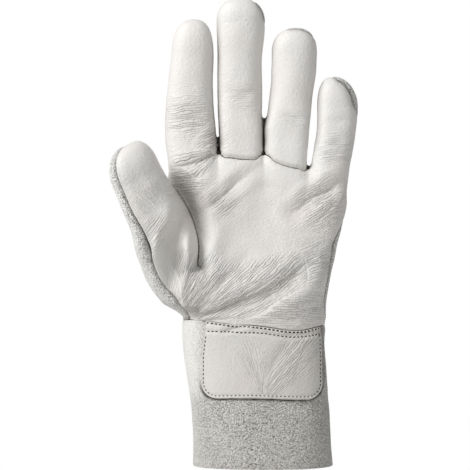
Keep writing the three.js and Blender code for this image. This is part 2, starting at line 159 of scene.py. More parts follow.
def palm_form(p):
    """Distance to the palm, whose sections are stretched so that it ends at the web."""
    x, y, z = p.T
    level = PALM_LOW + (z - PALM_LOW) * (PALM_TOP + WEB_HEIGHT - PALM_LOW) / (web_top(x) - PALM_LOW)
    rise = np.maximum(level - PALM_TOP, 0) / WEB_HEIGHT
    left, right, front, back = (column(level) for column in PALM_AT)
    half = (right - left) / 2 - (1 - np.sqrt(1 - np.minimum(rise, 0.97) ** 2)) * front
    across = (x - (left + right) / 2) / half
    deep = y - middle(x, z)
    depth = np.where(deep < 0, front, back)
    return rounded(across, np.hypot(deep / depth, rise), 0, OVAL, half, depth, WEB_HEIGHT)


def wrist_form(p):
    """Distance to the waist that the wrist seam draws the hand into, opening out quickly above it."""
    x, y, z = p.T
    above = np.maximum(z - wrist_line(x), 0)
    spread = 0.2 + 0.12 * above**2
    deep = y - middle(x, z)
    over = 2.2 * ramp(-14, 2, x) + 0.3
    half = WAIST_HALF + spread
    depth = np.where(deep < 0, WAIST_FRONT + over, WAIST_BACK) + spread
    return rounded((x - WAIST_MIDDLE) / half, deep / depth, 0, OVAL, half, depth, 20)


def finger_form(p, name):
    """Distance to one finger, which begins inside the palm and ends in a rounded tip."""
    x, y, z = p.T
    tip, drift, power, low, top, (centre_at, half_at, depth_at) = FINGERS_AT[name]
    half, depth = half_at(z), depth_at(z)
    rise = np.maximum(z - top, 0) / tip
    across = x - centre_at(z) - drift * rise**2
    deep = y - middle(x, z) - FINGER_TURN[name] * across
    power = power + FINGER_SQUARER[name] * ramp(226, 198, z)
    foot = np.maximum(low - z, 0) / 12
    return rounded(across / half, deep / depth, rise + foot, power, half, depth, tip)


def hand_form(p):
    """Distance to the filled hand without its thumb, and to each of its fingers. Low between the
    fingers, and behind their middle, a web of leather closes the gap."""
    fingers = {name: finger_form(p, name) for name in FINGERS}
    joined = fingers["index"]
    behind = ramp(-5, 2, p[:, 1] - middle(p[:, 0], p[:, 2]))
    for name, top in WEBS.items():
        web = 0.8 + 7.4 * ramp(top + 5, top - 5, p[:, 2]) * behind
        joined = smooth_min(joined, fingers[name], web)
    return smooth_min(palm_form(p), joined, 6.0), fingers


# The thumb: middle of each section (x, y, z), half width and half depth.
THUMB = np.array([
    (-27.0, 3.0, 89, 15.0, 17.0), (-40.0, -5.0, 100.5, 16.4, 18.5), (-53.4, -12.0, 114.5, 15.9, 18.0),
    (-57.0, -18.0, 131, 18.6, 16.8), (-61.2, -23.0, 145, 18.0, 15.4), (-68.3, -27.5, 159, 16.2, 13.8),
    (-74.1, -31.0, 172, 15.1, 12.4),
])
THUMB_TIP, THUMB_FOOT = 19.6, 14  # how far it rounds off past its last section and before its first
thumb_tilt = curve([0, 0.3, 0.45, 0.62, 1], [0, 0, 0.16, 0.38, 0.38])  # turn of its face to the palm
THUMB_SHARES = np.linspace(0, 1, len(THUMB))
# Where the seam runs up the thumb's left: the angle from its left to its front in degrees, over the
# share of its length.
thumb_turn = curve(
    [0, 0.2, 0.28, 0.35, 0.43, 0.5, 0.56, 0.64, 0.8, 1],
    [50, 52.5, 65, 68.5, 65.5, 62, 63.5, 62.4, 58, 53.5])
thumb_at = [curve(THUMB_SHARES, column) for column in THUMB.T]


def unit(v):
    return v / np.maximum(np.linalg.norm(v, axis=-1, keepdims=True), 1e-9)


def sampled(at, keys, table):
    """The rows of a table at places between its keys."""
    return np.stack([np.interp(at, keys, column) for column in table.T], -1)


# The thumb's middle line in 60 steps, with the directions along it, across its face and out of it.
thumb_t = np.linspace(0, 1, 61)
thumb_middle = np.stack([column(thumb_t) for column in thumb_at[:3]], 1)
thumb_along = unit(np.gradient(thumb_middle, axis=0))
thumb_across = unit(np.cross([0.0, 1.0, 0.0], thumb_along))
thumb_away = np.cross(thumb_along, thumb_across)
thumb_step = np.linalg.norm(np.gradient(thumb_middle, axis=0), axis=1)


def thumb_frame(p):
    """Where each point lies beside the thumb: across, away, past its tip's start, before its foot, and
    at which share of its length."""
    nearest = np.empty(len(p), int)
    block = 50000  # points at a time, to save memory
    for start in range(0, len(p), block):
        part = p[start:start + block]
        reach = (thumb_middle**2).sum(1) - 2 * part @ thumb_middle.T
        nearest[start:start + block] = reach.argmin(1)
    off = ((p - thumb_middle[nearest]) * thumb_along[nearest]).sum(1) / thumb_step[nearest]
    exact = np.clip(nearest + off, 0, len(thumb_t) - 1)
    index = np.arange(len(thumb_t))
    beside = p - sampled(exact, index, thumb_middle)
    x = (beside * sampled(exact, index, thumb_across)).sum(1)
    y = (beside * sampled(exact, index, thumb_away)).sum(1)
    past = np.maximum(((p - thumb_middle[-1]) * thumb_along[-1]).sum(1), 0)
    before = np.maximum(-((p - thumb_middle[0]) * thumb_along[0]).sum(1), 0)
    return x, y, past, before, exact / (len(thumb_t) - 1)


def thumb_form(p):
    """Distance to the thumb."""
    x, y, past, before, share = thumb_frame(p)
    half, depth = thumb_at[3](share), thumb_at[4](share)
    rise = past / THUMB_TIP
    across = x - rise**2
    away = y - thumb_tilt(share) * across
    power = 2.5 + 0.4 * ramp(0.35, 0.5, share) * ramp(1, 0.8, share)
    foot = before / THUMB_FOOT
    return rounded(across / half, away / depth, rise + foot, power, half, depth, THUMB_TIP)


def by_thumb(p):
    """Which points are close enough to the thumb for its form to count."""
    return (p[:, 0] < 5) & (p[:, 2] > 70) & (p[:, 2] < 205)


def glove_form(p):
    """Distance to the whole filled hand. The thumb's crease is sharp in front, and fades at its heel."""
    near = by_thumb(p)
    found, _ = hand_form(p)
    if near.any():
        q = p[near]
        soft = 13 - 12.4 * ramp(114.5, 119.5, q[:, 2]) * (1 - ramp(-14, -2, q[:, 1]))
        found[near] = smooth_min(found[near], thumb_form(q), soft)
    low = p[:, 2] < 112
    if low.any():
        found[low] = -smooth_min(-found[low], -wrist_form(p[low]), 2.5)
    return found


def surface_of(form, low, high, step):
    """The surface of a form as points and triangles, from a grid that is only fine beside it."""
    times = 4  # how much coarser the grid is elsewhere
    count = [int(math.ceil((h - l) / (times * step))) + 1 for l, h in zip(low, high)]
    axes = [l + times * step * np.arange(n) for l, n in zip(low, count)]
    rough = form(np.stack(np.meshgrid(*axes, indexing="ij"), -1).reshape(-1, 3)).reshape(count)
    for axis in range(3):
        first = np.take(rough, range(count[axis] - 1), axis)
        second = np.take(rough, range(1, count[axis]), axis)
        parts = [first + (second - first) * k / times for k in range(times)]
        shape = list(first.shape)
        shape[axis] *= times
        rough = np.stack(parts, axis + 1).reshape(shape)
    values = rough.astype(np.float32)
    close = np.argwhere(np.abs(values) < 2.4 * step + 1.2)
    values[tuple(close.T)] = form(close * step + np.array(low, float))
    # Each cell that the surface crosses gets one point, at the mean of the crossings on its edges.
    inside = values < 0
    corners = [(i, j, k) for i in (0, 1) for j in (0, 1) for k in (0, 1)]
    size = [n - 1 for n in values.shape]

    def shifted(grid, corner):
        return grid[tuple(slice(c, c + n) for c, n in zip(corner, size))]

    filled = sum(shifted(inside, c).astype(np.int8) for c in corners)
    cells = np.argwhere((filled > 0) & (filled < 8))
    number = np.full(size, -1)
    number[tuple(cells.T)] = np.arange(len(cells))
    total, hits = np.zeros((len(cells), 3)), np.zeros(len(cells))
    for a in corners:
        for axis in range(3):
            if a[axis]:
                continue
            b = tuple(c + (i == axis) for i, c in enumerate(a))
            va, vb = (values[tuple((cells + c).T)] for c in (a, b))
            crossed = (va < 0) != (vb < 0)
            t = np.where(crossed, va / np.where(crossed, va - vb, 1), 0)
            spot = np.array(a, float) + t[:, None] * np.eye(3)[axis]
            total += spot * crossed[:, None]
            hits += crossed
    points = (cells + total / hits[:, None]) * step + np.array(low, float)
    # Each grid edge that the surface crosses gets a square, between the points of the cells round it.
    faces, round_edge = [], ((1, 1), (0, 1), (0, 0), (1, 0))
    for axis in range(3):
        one, two = np.eye(3, dtype=int)[(axis + 1) % 3], np.eye(3, dtype=int)[(axis + 2) % 3]
        core = tuple(slice(0, -1) if i == axis else slice(1, -1) for i in range(3))
        ahead = tuple(slice(1, None) if i == axis else slice(1, -1) for i in range(3))
        crossed = np.argwhere(inside[core] != inside[ahead]) + [0 if i == axis else 1 for i in range(3)]
        outward = inside[tuple(crossed.T)]
        ring = np.stack([number[tuple((crossed - one * a - two * b).T)] for a, b in round_edge], 1)
        faces.append(np.where(outward[:, None], ring, ring[:, ::-1]))
    quads = np.concatenate(faces)
    quads = quads[(quads >= 0).all(1)]
    one = np.linalg.norm(points[quads[:, 0]] - points[quads[:, 2]], axis=1)
    two = np.linalg.norm(points[quads[:, 1]] - points[quads[:, 3]], axis=1)
    short = (one < two)[:, None]
    first = np.where(short, quads[:, [0, 1, 2]], quads[:, [0, 1, 3]])
    second = np.where(short, quads[:, [0, 2, 3]], quads[:, [1, 2, 3]])
    return points, np.concatenate([first, second])


def slope_of(form, p):
    """The direction in which a form's distance grows, at points p."""
    h = 0.04
    return np.stack([form(p + step) - form(p - step) for step in np.eye(3) * h], 1) / (2 * h)


def settle(form, points, rounds):
    """Moves the points onto the form's surface, and gives its outward directions there."""
    for _ in range(rounds):
        slope = slope_of(form, points)
        points = points - slope * np.clip(form(points) / (slope**2).sum(1), -1, 1)[:, None]
    return points, unit(slope_of(form, points))


def sides_of(faces):
    """The directed sides of all triangles: every first side, then every second and third."""
    return np.concatenate([faces[:, [0, 1]], faces[:, [1, 2]], faces[:, [2, 0]]])


def gathered(index, vectors, count):
    """The sum of the vectors that have each index."""
    return np.stack([np.bincount(index, vectors[:, k], count) for k in range(3)], 1)


def evened(form, points, faces):
    """Spreads the points evenly over the surface."""
    pairs = sides_of(faces)
    count = np.bincount(pairs[:, 0], minlength=len(points))
    for _ in range(3):
        points, out = settle(form, points, 1)
        move = gathered(pairs[:, 0], points[pairs[:, 1]], len(points)) / count[:, None] - points
        points = points + 0.5 * (move - out * (move * out).sum(1)[:, None])
    return settle(form, points, 2)[0]


def trimmed(points, faces, level):
    """The part of a surface where the level is under zero, cut on the level's own line."""
    value = level(points)
    near = np.abs(value) < 0.22 * STEP
    if near.any():
        slope = slope_of(level, points[near])
        points = points.copy()
        points[near] -= slope * (value[near] / np.maximum((slope**2).sum(1), 0.05))[:, None]
        value = np.where(near, 0, value)
    side = np.sign(value)[faces]
    keep = (side.min(1) < 0) & (side.max(1) <= 0)
    mixed = (side.min(1) < 0) & (side.max(1) > 0)
    tri, side = faces[mixed], side[mixed]
    lone = (side < 0).sum(1) == 1
    first = np.where(lone, (side < 0).argmax(1), (side > 0).argmax(1))
    turn = (first[:, None] + np.arange(3)) % 3
    tri = np.take_along_axis(tri, turn, 1)
    # Each cut triangle has one corner alone on its side. New points lie on both edges from it, or
    # are the far corner itself, where that lies on the line.
    alone, far, total = tri[:, :1], tri[:, 1:], len(points)
    pairs = np.where(value[far] == 0, -1, np.minimum(alone, far) * total + np.maximum(alone, far))
    codes = np.unique(pairs)
    codes = codes[codes >= 0]
    a, b = codes // total, codes % total
    share = value[a] / (value[a] - value[b])
    fresh = points[a] + (points[b] - points[a]) * share[:, None]
    cut = np.where(pairs < 0, far, total + np.searchsorted(codes, np.maximum(pairs, 0)))
    tips = np.concatenate([alone, cut], 1)[lone]
    stumps = [np.concatenate([cut[:, :1], far], 1), np.stack([cut[:, 0], far[:, 1], cut[:, 1]], 1)]
    every = np.concatenate([faces[keep], tips, *(stump[~lone] for stump in stumps)])
    every = every[(every[:, 0] != every[:, 1]) & (every[:, 1] != every[:, 2]) & (every[:, 0] != every[:, 2])]
    joined = np.concatenate([points, fresh])
    used, back = np.unique(every, return_inverse=True)
    return joined[used], back.reshape(every.shape)


def normals_of(points, faces):
    """The outward direction at each point of a surface."""
    a, b, c = (points[faces[:, i]] for i in range(3))
    flat = np.cross(b - a, c - a)
    return unit(sum(gathered(faces[:, i], flat, len(points)) for i in range(3)))


def edge_of(faces, count):
    """The directed edges along a surface's open edge."""
    pairs = sides_of(faces)
    code, back = pairs[:, 0] * count + pairs[:, 1], pairs[:, 1] * count + pairs[:, 0]
    return pairs[~np.isin(code, back)]


def refined(points, faces, wanted):
    """Halves the edges between wanted points. The old points keep their numbers."""
    pairs = np.sort(sides_of(faces), 1)
    edges, back = np.unique(pairs[:, 0] * len(points) + pairs[:, 1], return_inverse=True)
    a, b = edges // len(points), edges % len(points)
    split = wanted[a] & wanted[b]
    number = np.where(split, len(points) + np.cumsum(split) - 1, -1)
    halves = number[back].reshape(3, -1).T
    full = (halves >= 0).all(1)
    (v, w, u), (vw, wu, uv) = faces[full].T, halves[full].T
    found = [faces[(halves < 0).all(1)]]
    found += [np.stack(part, 1) for part in ((v, vw, uv), (vw, w, wu), (uv, wu, u), (vw, wu, uv))]
    for turn in range(3):
        (v, w, u), (vw, wu, uv) = np.roll(faces, -turn, 1).T, np.roll(halves, -turn, 1).T
        one, two = (vw >= 0) & (wu < 0) & (uv < 0), (vw < 0) & (wu >= 0) & (uv >= 0)
        found += [np.stack(part, 1)[one] for part in ((v, vw, u), (vw, w, u))]
        found += [np.stack(part, 1)[two] for part in ((v, w, wu), (v, wu, uv), (uv, wu, u))]
    return np.concatenate([points, (points[a[split]] + points[b[split]]) / 2]), np.concatenate(found)


def leather_wall(points, faces, roll, wall, coarse=None, drop=1.0):
    """A closed leather wall: the outer face, its edges rolled in by roll mm, and the inner face. The
    inner face may be coarser, between the first of the points. A small drop makes a shallow roll.
    Gives points, faces, a mark for the inner faces, and the outer point that each point stems from."""
    out = normals_of(points, faces)
    edge = edge_of(faces, len(points))
    rim, back = np.unique(edge, return_inverse=True)
    edge_rim = back.reshape(edge.shape)
    first, second = edge_rim.T
    aside = np.cross(points[edge[:, 1]] - points[edge[:, 0]], out[edge[:, 0]] + out[edge[:, 1]])
    away = gathered(first, aside, len(rim)) + gathered(second, aside, len(rim))
    for _ in range(3):
        before, after = (gathered(a, away[b], len(rim)) for a, b in ((first, second), (second, first)))
        away = unit(away + 0.5 * before + 0.5 * after)
    away = unit(away - out[rim] * (away * out[rim]).sum(1)[:, None])
    radius = roll[rim][:, None]
    rows = []  # four rows of points round the rolled edge, and one at the end of its turned-in rim
    for turn in np.radians([22, 45, 67, 90]):
        rows.append(points[rim] + radius * (math.sin(turn) * away - drop * (1 - math.cos(turn)) * out[rim]))
    rows.append(points[rim] + 0.7 * radius * away - np.maximum(radius, wall) * out[rim])
    coarse = faces if coarse is None else coarse
    kept = coarse.max() + 1
    inner = points[:kept] - wall * out[:kept]
    shell_start = len(points) + len(rows) * len(rim)
    lines = [edge, *(len(points) + k * len(rim) + edge_rim for k in range(len(rows))), shell_start + edge]
    sides = []
    for last, following in zip(lines[:-1], lines[1:]):
        sides.append(np.stack([last[:, 1], last[:, 0], following[:, 0]], 1))
        sides.append(np.stack([last[:, 1], following[:, 0], following[:, 1]], 1))
    every = np.concatenate([points, *rows, inner])
    faces_all = np.concatenate([faces, *sides, coarse[:, ::-1] + shell_start])
    inside = np.arange(len(faces_all)) >= len(faces_all) - len(coarse)
    source = np.concatenate([np.arange(len(points)), *([rim] * len(rows)), np.arange(kept)])
    return every, faces_all, inside, source


def noise(p, size, seed):
    """Smooth random bumps from -1 to 1, about size mm across."""
    wide = 32  # bumps before the pattern comes again
    table = np.random.RandomState(seed).uniform(-1, 1, (wide, wide, wide))
    q = p / size + 100.37  # off the glove's own middle, where the bumps would start in step
    cell = np.floor(q).astype(int)
    f = q - cell
    f = f * f * (3 - 2 * f)
    found = 0
    for i in (0, 1):
        for j in (0, 1):
            for k in (0, 1):
                near = table[tuple(((cell + (i, j, k)) % wide).T)]
                share = [f[:, n] if c else 1 - f[:, n] for n, c in enumerate((i, j, k))]
                found = found + near * share[0] * share[1] * share[2]
    return found


def lengths_along(path):
    """The distance along a path at each of its points."""
    return np.concatenate([[0], np.cumsum(np.linalg.norm(np.diff(path, axis=0), axis=1))])


def beside_line(x, z, line):
    """Distance to a smooth line through points (x, z), and how far along it, from 0 to 1."""
    line = np.array(line, float)
    run = lengths_along(line)
    if len(line) > 2:
        fine = np.linspace(0, run[-1], 20)
        line = np.stack([curve(run, column)(fine) for column in line.T], 1)
    best, share = np.full(len(x), 1e9), np.zeros(len(x))
    for n, (a, b) in enumerate(zip(line[:-1], line[1:])):
        d = b - a
        t = np.clip(((x - a[0]) * d[0] + (z - a[1]) * d[1]) / (d @ d), 0, 1)
        distance = np.hypot(x - a[0] - t * d[0], z - a[1] - t * d[1])
        closer = distance < best
        best = np.where(closer, distance, best)
        share = np.where(closer, (n + t) / (len(line) - 1), share)
    return best, share


def crease(x, z, line, depth, width):
    """Depth of a crease with a sharp floor and soft sides, and the low ridges beside it."""
    near = np.ones(len(x), bool)
    for value, ends in zip((x, z), np.array(line, float).T):
        near &= (value > ends.min() - 5 * width) & (value < ends.max() + 5 * width)
    found = np.zeros(len(x))
    distance, share = beside_line(x[near], z[near], line)
    shallow_ends = np.sqrt(np.sin(np.pi * (0.06 + 0.88 * share)))  # two fifths of the depth there
    across = distance / width
    floor = np.exp(-(across ** (1.5 if depth > 0 else 2)))
    found[near] = depth * shallow_ends * (floor - 0.3 * nearness(across - 2.3, 1))
    return found


# Main folds of the front as lines of (x, z), with their depth and half width. A depth under zero
# makes a ridge. From the web between thumb and palm on they are the thumb's: its valley, the ridge
# beside the palm and creases of the ball. The last four are finger joints and the ring finger's ridge.
FOLDS = [
    ([(-44.8, 86.5), (-29.6, 90.6), (-14.5, 96.2), (2.7, 102.2), (14, 108.5), (24, 116)], 3.6, 4.6),
    ([(6, 105), (18, 113), (31, 126)], 1.0, 6.5),
    ([(-43, 89), (-31.5, 102), (-19.5, 112), (-9, 124)], 1.3, 3.8),
    ([(-38.4, 119), (-35, 114), (-34, 107)], 0.7, 2.5),
    ([(-26.3, 187.1), (-32.3, 183.2), (-38.9, 180.5), (-52, 177.8)], 1.0, 2.0),
    ([(-37, 173), (-45.6, 168.6), (-53, 169.5)], 1.4, 2.4),
    ([(-6, 176), (-15, 169), (-22.5, 162), (-36, 149.4)], 1.7, 2.8),
    ([(-14, 159), (-19.2, 152.7), (-28, 149)], 0.7, 3.4),
    ([(49, 171), (41, 166), (33, 161.5), (18, 151)], 2.6, 3.6),
    ([(0.5, 181), (2, 171), (-1, 160)], 0.5, 5.0),
    ([(-50.5, 166), (-44, 155), (-37.8, 138)], 4.8, 5.0),
    ([(-51, 170), (-44, 160), (-37, 146)], 1.9, 7.5),
    ([(-45.5, 151), (-50, 142), (-53.5, 132), (-56.5, 121), (-55, 108)], 2.6, 3.5),
    ([(-43, 145), (-43.5, 136), (-44.6, 127), (-46.2, 117), (-48, 103)], -1.9, 3.4),
    ([(-60, 140), (-62, 131), (-62, 122), (-58.5, 112)], -0.8, 2.4),
    ([(-63.6, 131.5), (-60, 136.6), (-56.4, 142.2)], 0.22, 0.5),
    ([(-60.8, 137.5), (-57.6, 142.6)], 0.15, 0.5),
    ([(-66, 150), (-61, 158), (-60, 168)], 0.4, 3.4),
    ([(-20, 223), (-12, 222), (-4, 223)], 0.55, 2.4),
    ([(10, 208), (18, 207), (26, 208)], 0.55, 2.4),
    ([(38, 206), (45, 205), (51, 206)], 0.45, 2.2),
    ([(18.5, 243), (18, 228), (16.5, 213)], -0.6, 5.0),
]
# Finer creases inside and beside the folds.
CREASES = [
    ([(-44, 86.6), (-36.7, 88.4), (-14, 95), (4, 101.5), (20, 110)], 0.45, 0.7),
    ([(-42, 87.5), (-18, 96), (0, 104), (15, 112), (31.5, 125)], 0.3, 0.8),
    ([(-26.3, 187.1), (-32.3, 183.2), (-38.9, 180.5), (-52, 177.8)], 0.5, 0.8),
    ([(-15, 169), (-22.5, 162), (-32.3, 152)], 0.3, 0.7),
    ([(47, 166.6), (37, 163.4), (28, 157.5), (18, 150.4)], 0.45, 0.8),
]
# Strands of fine creases: the lines between which they run, their number, depth and seed.
STRANDS = [
    ([(-43, 88), (-18, 99), (6, 113), (26, 130)], [(-41, 87), (-20, 91), (8, 102), (32, 118)], 14, 0.22, 3),
    ([(-50, 96), (-47, 104), (-45, 114)], [(-42, 89), (-30, 99), (-14, 112)], 15, 0.2, 4),
    ([(-30, 184), (-40, 180), (-52, 179)], [(-34, 172), (-42, 162), (-47, 154)], 9, 0.18, 6),
    ([(46, 172), (38, 164), (29, 156)], [(46, 160), (38, 150), (31, 142)], 9, 0.2, 7),
]
STRAND_WIDTH = 0.6


def strand(first, last, count, depth, seed):
    """Fine creases that run between two lines, each a little longer, deeper or wavier than the next."""
    chance = np.random.RandomState(seed)
    first, last = np.array(first, float), np.array(last, float)
    lines = []
    for n in range(count):
        share = (n + chance.uniform(0.15, 0.85)) / count
        line = first + (last - first) * share
        begin, end = chance.uniform(0, 0.3), chance.uniform(0.65, 1)
        at = np.linspace(begin, end, 4) * (len(line) - 1)
        line = sampled(at, np.arange(len(line)), line)
        line += chance.uniform(-0.5, 0.5, line.shape)
        lines.append((line, depth * chance.uniform(0.5, 1.2), STRAND_WIDTH * chance.uniform(0.8, 1.3)))
    return lines


for row in STRANDS:
    CREASES += strand(*row)

# Straight families of the finest wrinkles: turn in degrees, strength, middle (x, z), half width and
# half height. Two more families run round the thumb's heel and round the index finger's root.
FLOWS = [
    (6, 0.95, -44, 208, 13, 12), (34, 1, -31, 194, 8, 11), (40, 0.75, -26, 157, 14, 9),
    (4, 1.15, -46, 170, 10, 13), (30, 1, 36, 155, 14, 15), (-1, 1, 19, 93, 25, 12),
    (24, 0.9, 32, 121, 11, 15), (5, 0.6, 43, 189, 11, 10), (54, 0.5, -62, 138, 10, 13),
    (80, 0.6, -50, 108, 7, 13), (-42, 0.45, -68, 160, 9, 12), (3, 0.45, -12, 220, 9, 7),
    (-3, 0.45, 19, 205, 9, 6),
]
HEEL, INDEX_ROOT = (-45.2, 85.8), (-23, 190)


def mound(x, z, x0, z0, wide, high):
    """A soft oval spot, 1 in its middle."""
    return np.exp(-(((x - x0) / wide) ** 2) - ((z - z0) / high) ** 2)


def flow_of(x, z):
    """The finest wrinkles: distances across and along them in mm, their strength from 0 to 1, the
    strength that fades where two families meet, and the number of each point's family."""
    # Wrinkles round the thumb's heel bow a little, and lie wider apart the farther out they are.
    heel, turn = np.hypot(x - HEEL[0], z - HEEL[1]), np.arctan2(z - HEEL[1], x - HEEL[0])
    reach = 45 + 45 * nearness(turn - 0.45, 0.25)
    around_heel = (ramp(2, 11, heel) * ramp(1.1, 0.7, heel / reach)
                   * ramp(1.95, 1.6, turn) * ramp(0.04, 0.16, turn))
    bowed = turn - 0.0031 * heel * np.cos(turn)
    root = np.hypot(x - INDEX_ROOT[0], z - INDEX_ROOT[1])
    root_turn = np.arctan2(INDEX_ROOT[1] - z, INDEX_ROOT[0] - x)
    around_root = (ramp(5, 10, root) * ramp(38, 24, root)
                   * ramp(0.0, 0.25, root_turn) * ramp(1.1, 0.75, root_turn))
    families = [
        (7.6 * (bowed - 0.5) * heel**0.45, heel, around_heel),
        (15 * root_turn, root, around_root * ramp(-22, -30, x)),
    ]
    for degrees, strength, *spot in FLOWS:
        s, c = math.sin(math.radians(degrees)), math.cos(math.radians(degrees))
        families.append((-x * s + z * c, x * c + z * s, strength * mound(x, z, *spot)))
    all_across, all_along, strengths = (np.array(column) for column in zip(*families))
    order = np.argsort(strengths, 0)
    best, second = order[-1], order[-2]
    pick = np.arange(len(x))
    most, next_most = strengths[best, pick], strengths[second, pick]
    fading = most * (1 - (next_most / np.maximum(most, 1e-6)) ** 2)
    return all_across[best, pick], all_along[best, pick], np.minimum(most, 1), fading, best


# Broad hollows of the front: depth, middle (x, z), half width and half height. The first is the
# palm's own, the second sets the thumb's ball back, and the last fills the palm beside it.
HOLLOWS = [(4.6, -6, 143, 28, 32), (4.4, -51, 124, 6, 16), (-4.4, -31, 127, 8.5, 18)]


def hand_relief(p):
    """The relief of the filled hand's leather by place alone, so that sewn edges stay together: how far
    it stands out, how far the main folds push it back, and the depth of its creases and wrinkles."""
    front = ramp(0, -8, p[:, 1] - middle(p[:, 0], p[:, 2]))
    x = p[:, 0] + 1.3 * noise(p, 14, 21) + 0.35 * noise(p, 4, 23)
    z = p[:, 2] + 1.3 * noise(p, 14, 22) + 0.35 * noise(p, 4, 24)
    hollow = sum(depth * mound(x, z, *spot) for depth, *spot in HOLLOWS)
    above_wrist = ramp(0.5, 7, p[:, 2] - wrist_line(p[:, 0]))
    sunk = (hollow + sum(crease(x, z, *fold) for fold in FOLDS)) * front * (0.25 + 0.75 * above_wrist)
    fine = sum(crease(x, z, *line) for line in CREASES) * front
    across, along, _, strength, _ = flow_of(x, z)
    grooves = noise(np.stack([across / 0.9, along / 22, 0 * along], 1), 1, 33)
    fine += 0.12 * strength * front * grooves
    soft = 0.34 * noise(p, 17, 31) + 0.15 * noise(p, 7, 32)
    between_fingers = 0.9 * nearness(x - 0.6, 3) * ramp(183, 189, z) * ramp(212, 200, z)
    return soft + between_fingers, sunk, fine


# Seams: the side seam behind the widest line of the hand, brought forward over three fingertips, the
# seams across the two middle fingers' roots, the thumb's seam, and the wrist's.
root_line = curve(
    [-27.6, -24.5, -18.6, -9.2, -3.2, -0.2, 7.3, 11.7, 20.9, 26.5, 28.2],
    [187, 184.2, 183.1, 182.2, 182.8, 185.2, 180.7, 178.9, 176.8, 176.5, 178.9])
# Fingertips whose suede back shows: how far forward, from what height and from what side.
SHOWN_BACKS = [(6.5, 260, 267, -9, -3), (7, 252, 259, 9, 17), (8, 206, 216, 38, 45)]
SHOWN_SIDE = 11  # the same at the right edge of the palm
SEAM_BACK = 2.4  # how far behind the middle surface the side seam lies elsewhere
# Radius of the rolled edges at each kind of seam, and the gap left between two pieces.
ROLLS = {"side": 0.9, "root": 0.6, "thumb": 0.4, "wrist": 1.6}
GAP = 0.06


def side_seam(p):
    """The level of the side seam, under zero on the palm's side."""
    x, y, z = p.T
    forward = sum(far * ramp(z0, z1, z) * ramp(x0, x1, x) for far, z0, z1, x0, x1 in SHOWN_BACKS)
    forward = forward + SHOWN_SIDE * ramp(78, 98, z) * ramp(154, 130, z) * ramp(20, 34, x)
    return y - middle(x, z) - SEAM_BACK + forward


def zones(p):
    """How far each point lies outside the middle and ring finger fronts and outside the thumb."""
    hand, fingers = hand_form(p)
    below = root_line(p[:, 0]) - p[:, 2]
    beside = {name: 0.5 * fingers[name] for name in FINGERS}
    middle_zone = np.maximum(below, beside["middle"] - np.minimum(beside["index"], beside["ring"]))
    ring_zone = np.maximum(below, beside["ring"] - np.minimum(beside["middle"], beside["little"]))
    thumb_zone = np.full(len(p), 20.0)
    near = by_thumb(p)
    if near.any():
        foot = ramp(122, 100, p[near, 2]) * ramp(-6, 6, p[near, 1])
        thumb_zone[near] = (0.7 + 1.4 * foot) * (thumb_form(p[near]) - hand[near]) + 5 * foot
    return middle_zone, ring_zone, thumb_zone


def seams_of(piece, p):
    """The levels of a piece's seams, each under zero on the piece's side, and the kinds of seam."""
    middle_zone, ring_zone, thumb_zone = zones(p)
    side, wrist = side_seam(p), wrist_line(p[:, 0]) - p[:, 2]
    if piece == "middle_finger_front":
        return [(side, "side"), (middle_zone, "root")]
    if piece == "ring_finger_front":
        return [(side, "side"), (ring_zone, "root")]
    if piece == "palm":
        roots = [(-middle_zone, "root"), (-ring_zone, "root")]
        return [(side, "side"), *roots, (-thumb_zone, "thumb"), (wrist, "wrist")]
    if piece == "hand_back":
        return [(-side, "side"), (-thumb_zone, "thumb"), (wrist, "wrist")]
    x, y, _, _, share = thumb_frame(p)
    turn = np.radians(thumb_turn(share))
    behind = y * np.cos(turn) - x * np.sin(turn)
    side = behind if piece == "thumb_front" else -behind
    return [(side, "side"), (thumb_zone, "thumb"), (wrist, "wrist")]


def piece_of(surface, piece, rolls):
    """Cuts one leather piece out of the whole surface, short of its seams by the roll of its edges.
    Gives its points, faces and coarser faces, the directions out of it, the roll of the nearest edge,
    and the distance of each point from each kind of seam."""
    def rolled(p, name):
        """The roll of an edge. It is next to nothing where the thumb's seam is lost among wrinkles and
        where two fingers touch. At the wrist it is large where the hand stands over the seam."""
        x, y, z = p.T
        if name == "thumb":
            return rolls[name] * np.minimum(ramp(112, 122, z) + ramp(-12, -2, y), 1)
        if name == "root":
            return rolls[name] * (0.1 + 0.9 * ramp(4, 1, np.abs(z - root_line(x))))
        if name == "wrist":
            return rolls[name] * (0.12 + 0.68 * ramp(-16, 0, x) * ramp(-4, -14, y))
        return np.full(len(p), rolls[name])

    def edge(p):
        return np.max([value + rolled(p, name) for value, name in seams_of(piece, p)], axis=0) + GAP

    points, coarse = trimmed(*surface, edge)
    points = settle(glove_form, points, 1)[0]
    wrinkled = flow_of(points[:, 0], points[:, 2])[2] > 0.25
    wrinkled &= points[:, 1] - middle(points[:, 0], points[:, 2]) < -4
    wrinkled[np.unique(edge_of(coarse, len(points)))] = False
    points, faces = refined(points, coarse, wrinkled)
    points, out = settle(glove_form, points, 1)
    inward = {name: np.full(len(points), 99.0) for name in ROLLS}
    nearest, roll = np.full(len(points), -np.inf), np.zeros(len(points))
    for value, name in seams_of(piece, points):
        here = rolled(points, name)
        inward[name] = np.minimum(inward[name], -value - here)
        roll = np.where(value + here > nearest, here, roll)
        nearest = np.maximum(nearest, value + here)
    return points, faces, coarse, out, np.maximum(roll, 0.1), inward


def lifted(points, out, rise, sunk, inward):
    """Moves points out by rise and back by sunk. In the thumb's deep crease they don't rise, as its
    two sides would part."""
    held = nearness(inward["thumb"], 1.6) * ramp(106, 116, points[:, 2])
    moved = points + out * (rise * (1 - held))[:, None]
    moved[:, 1] += sunk
    return moved


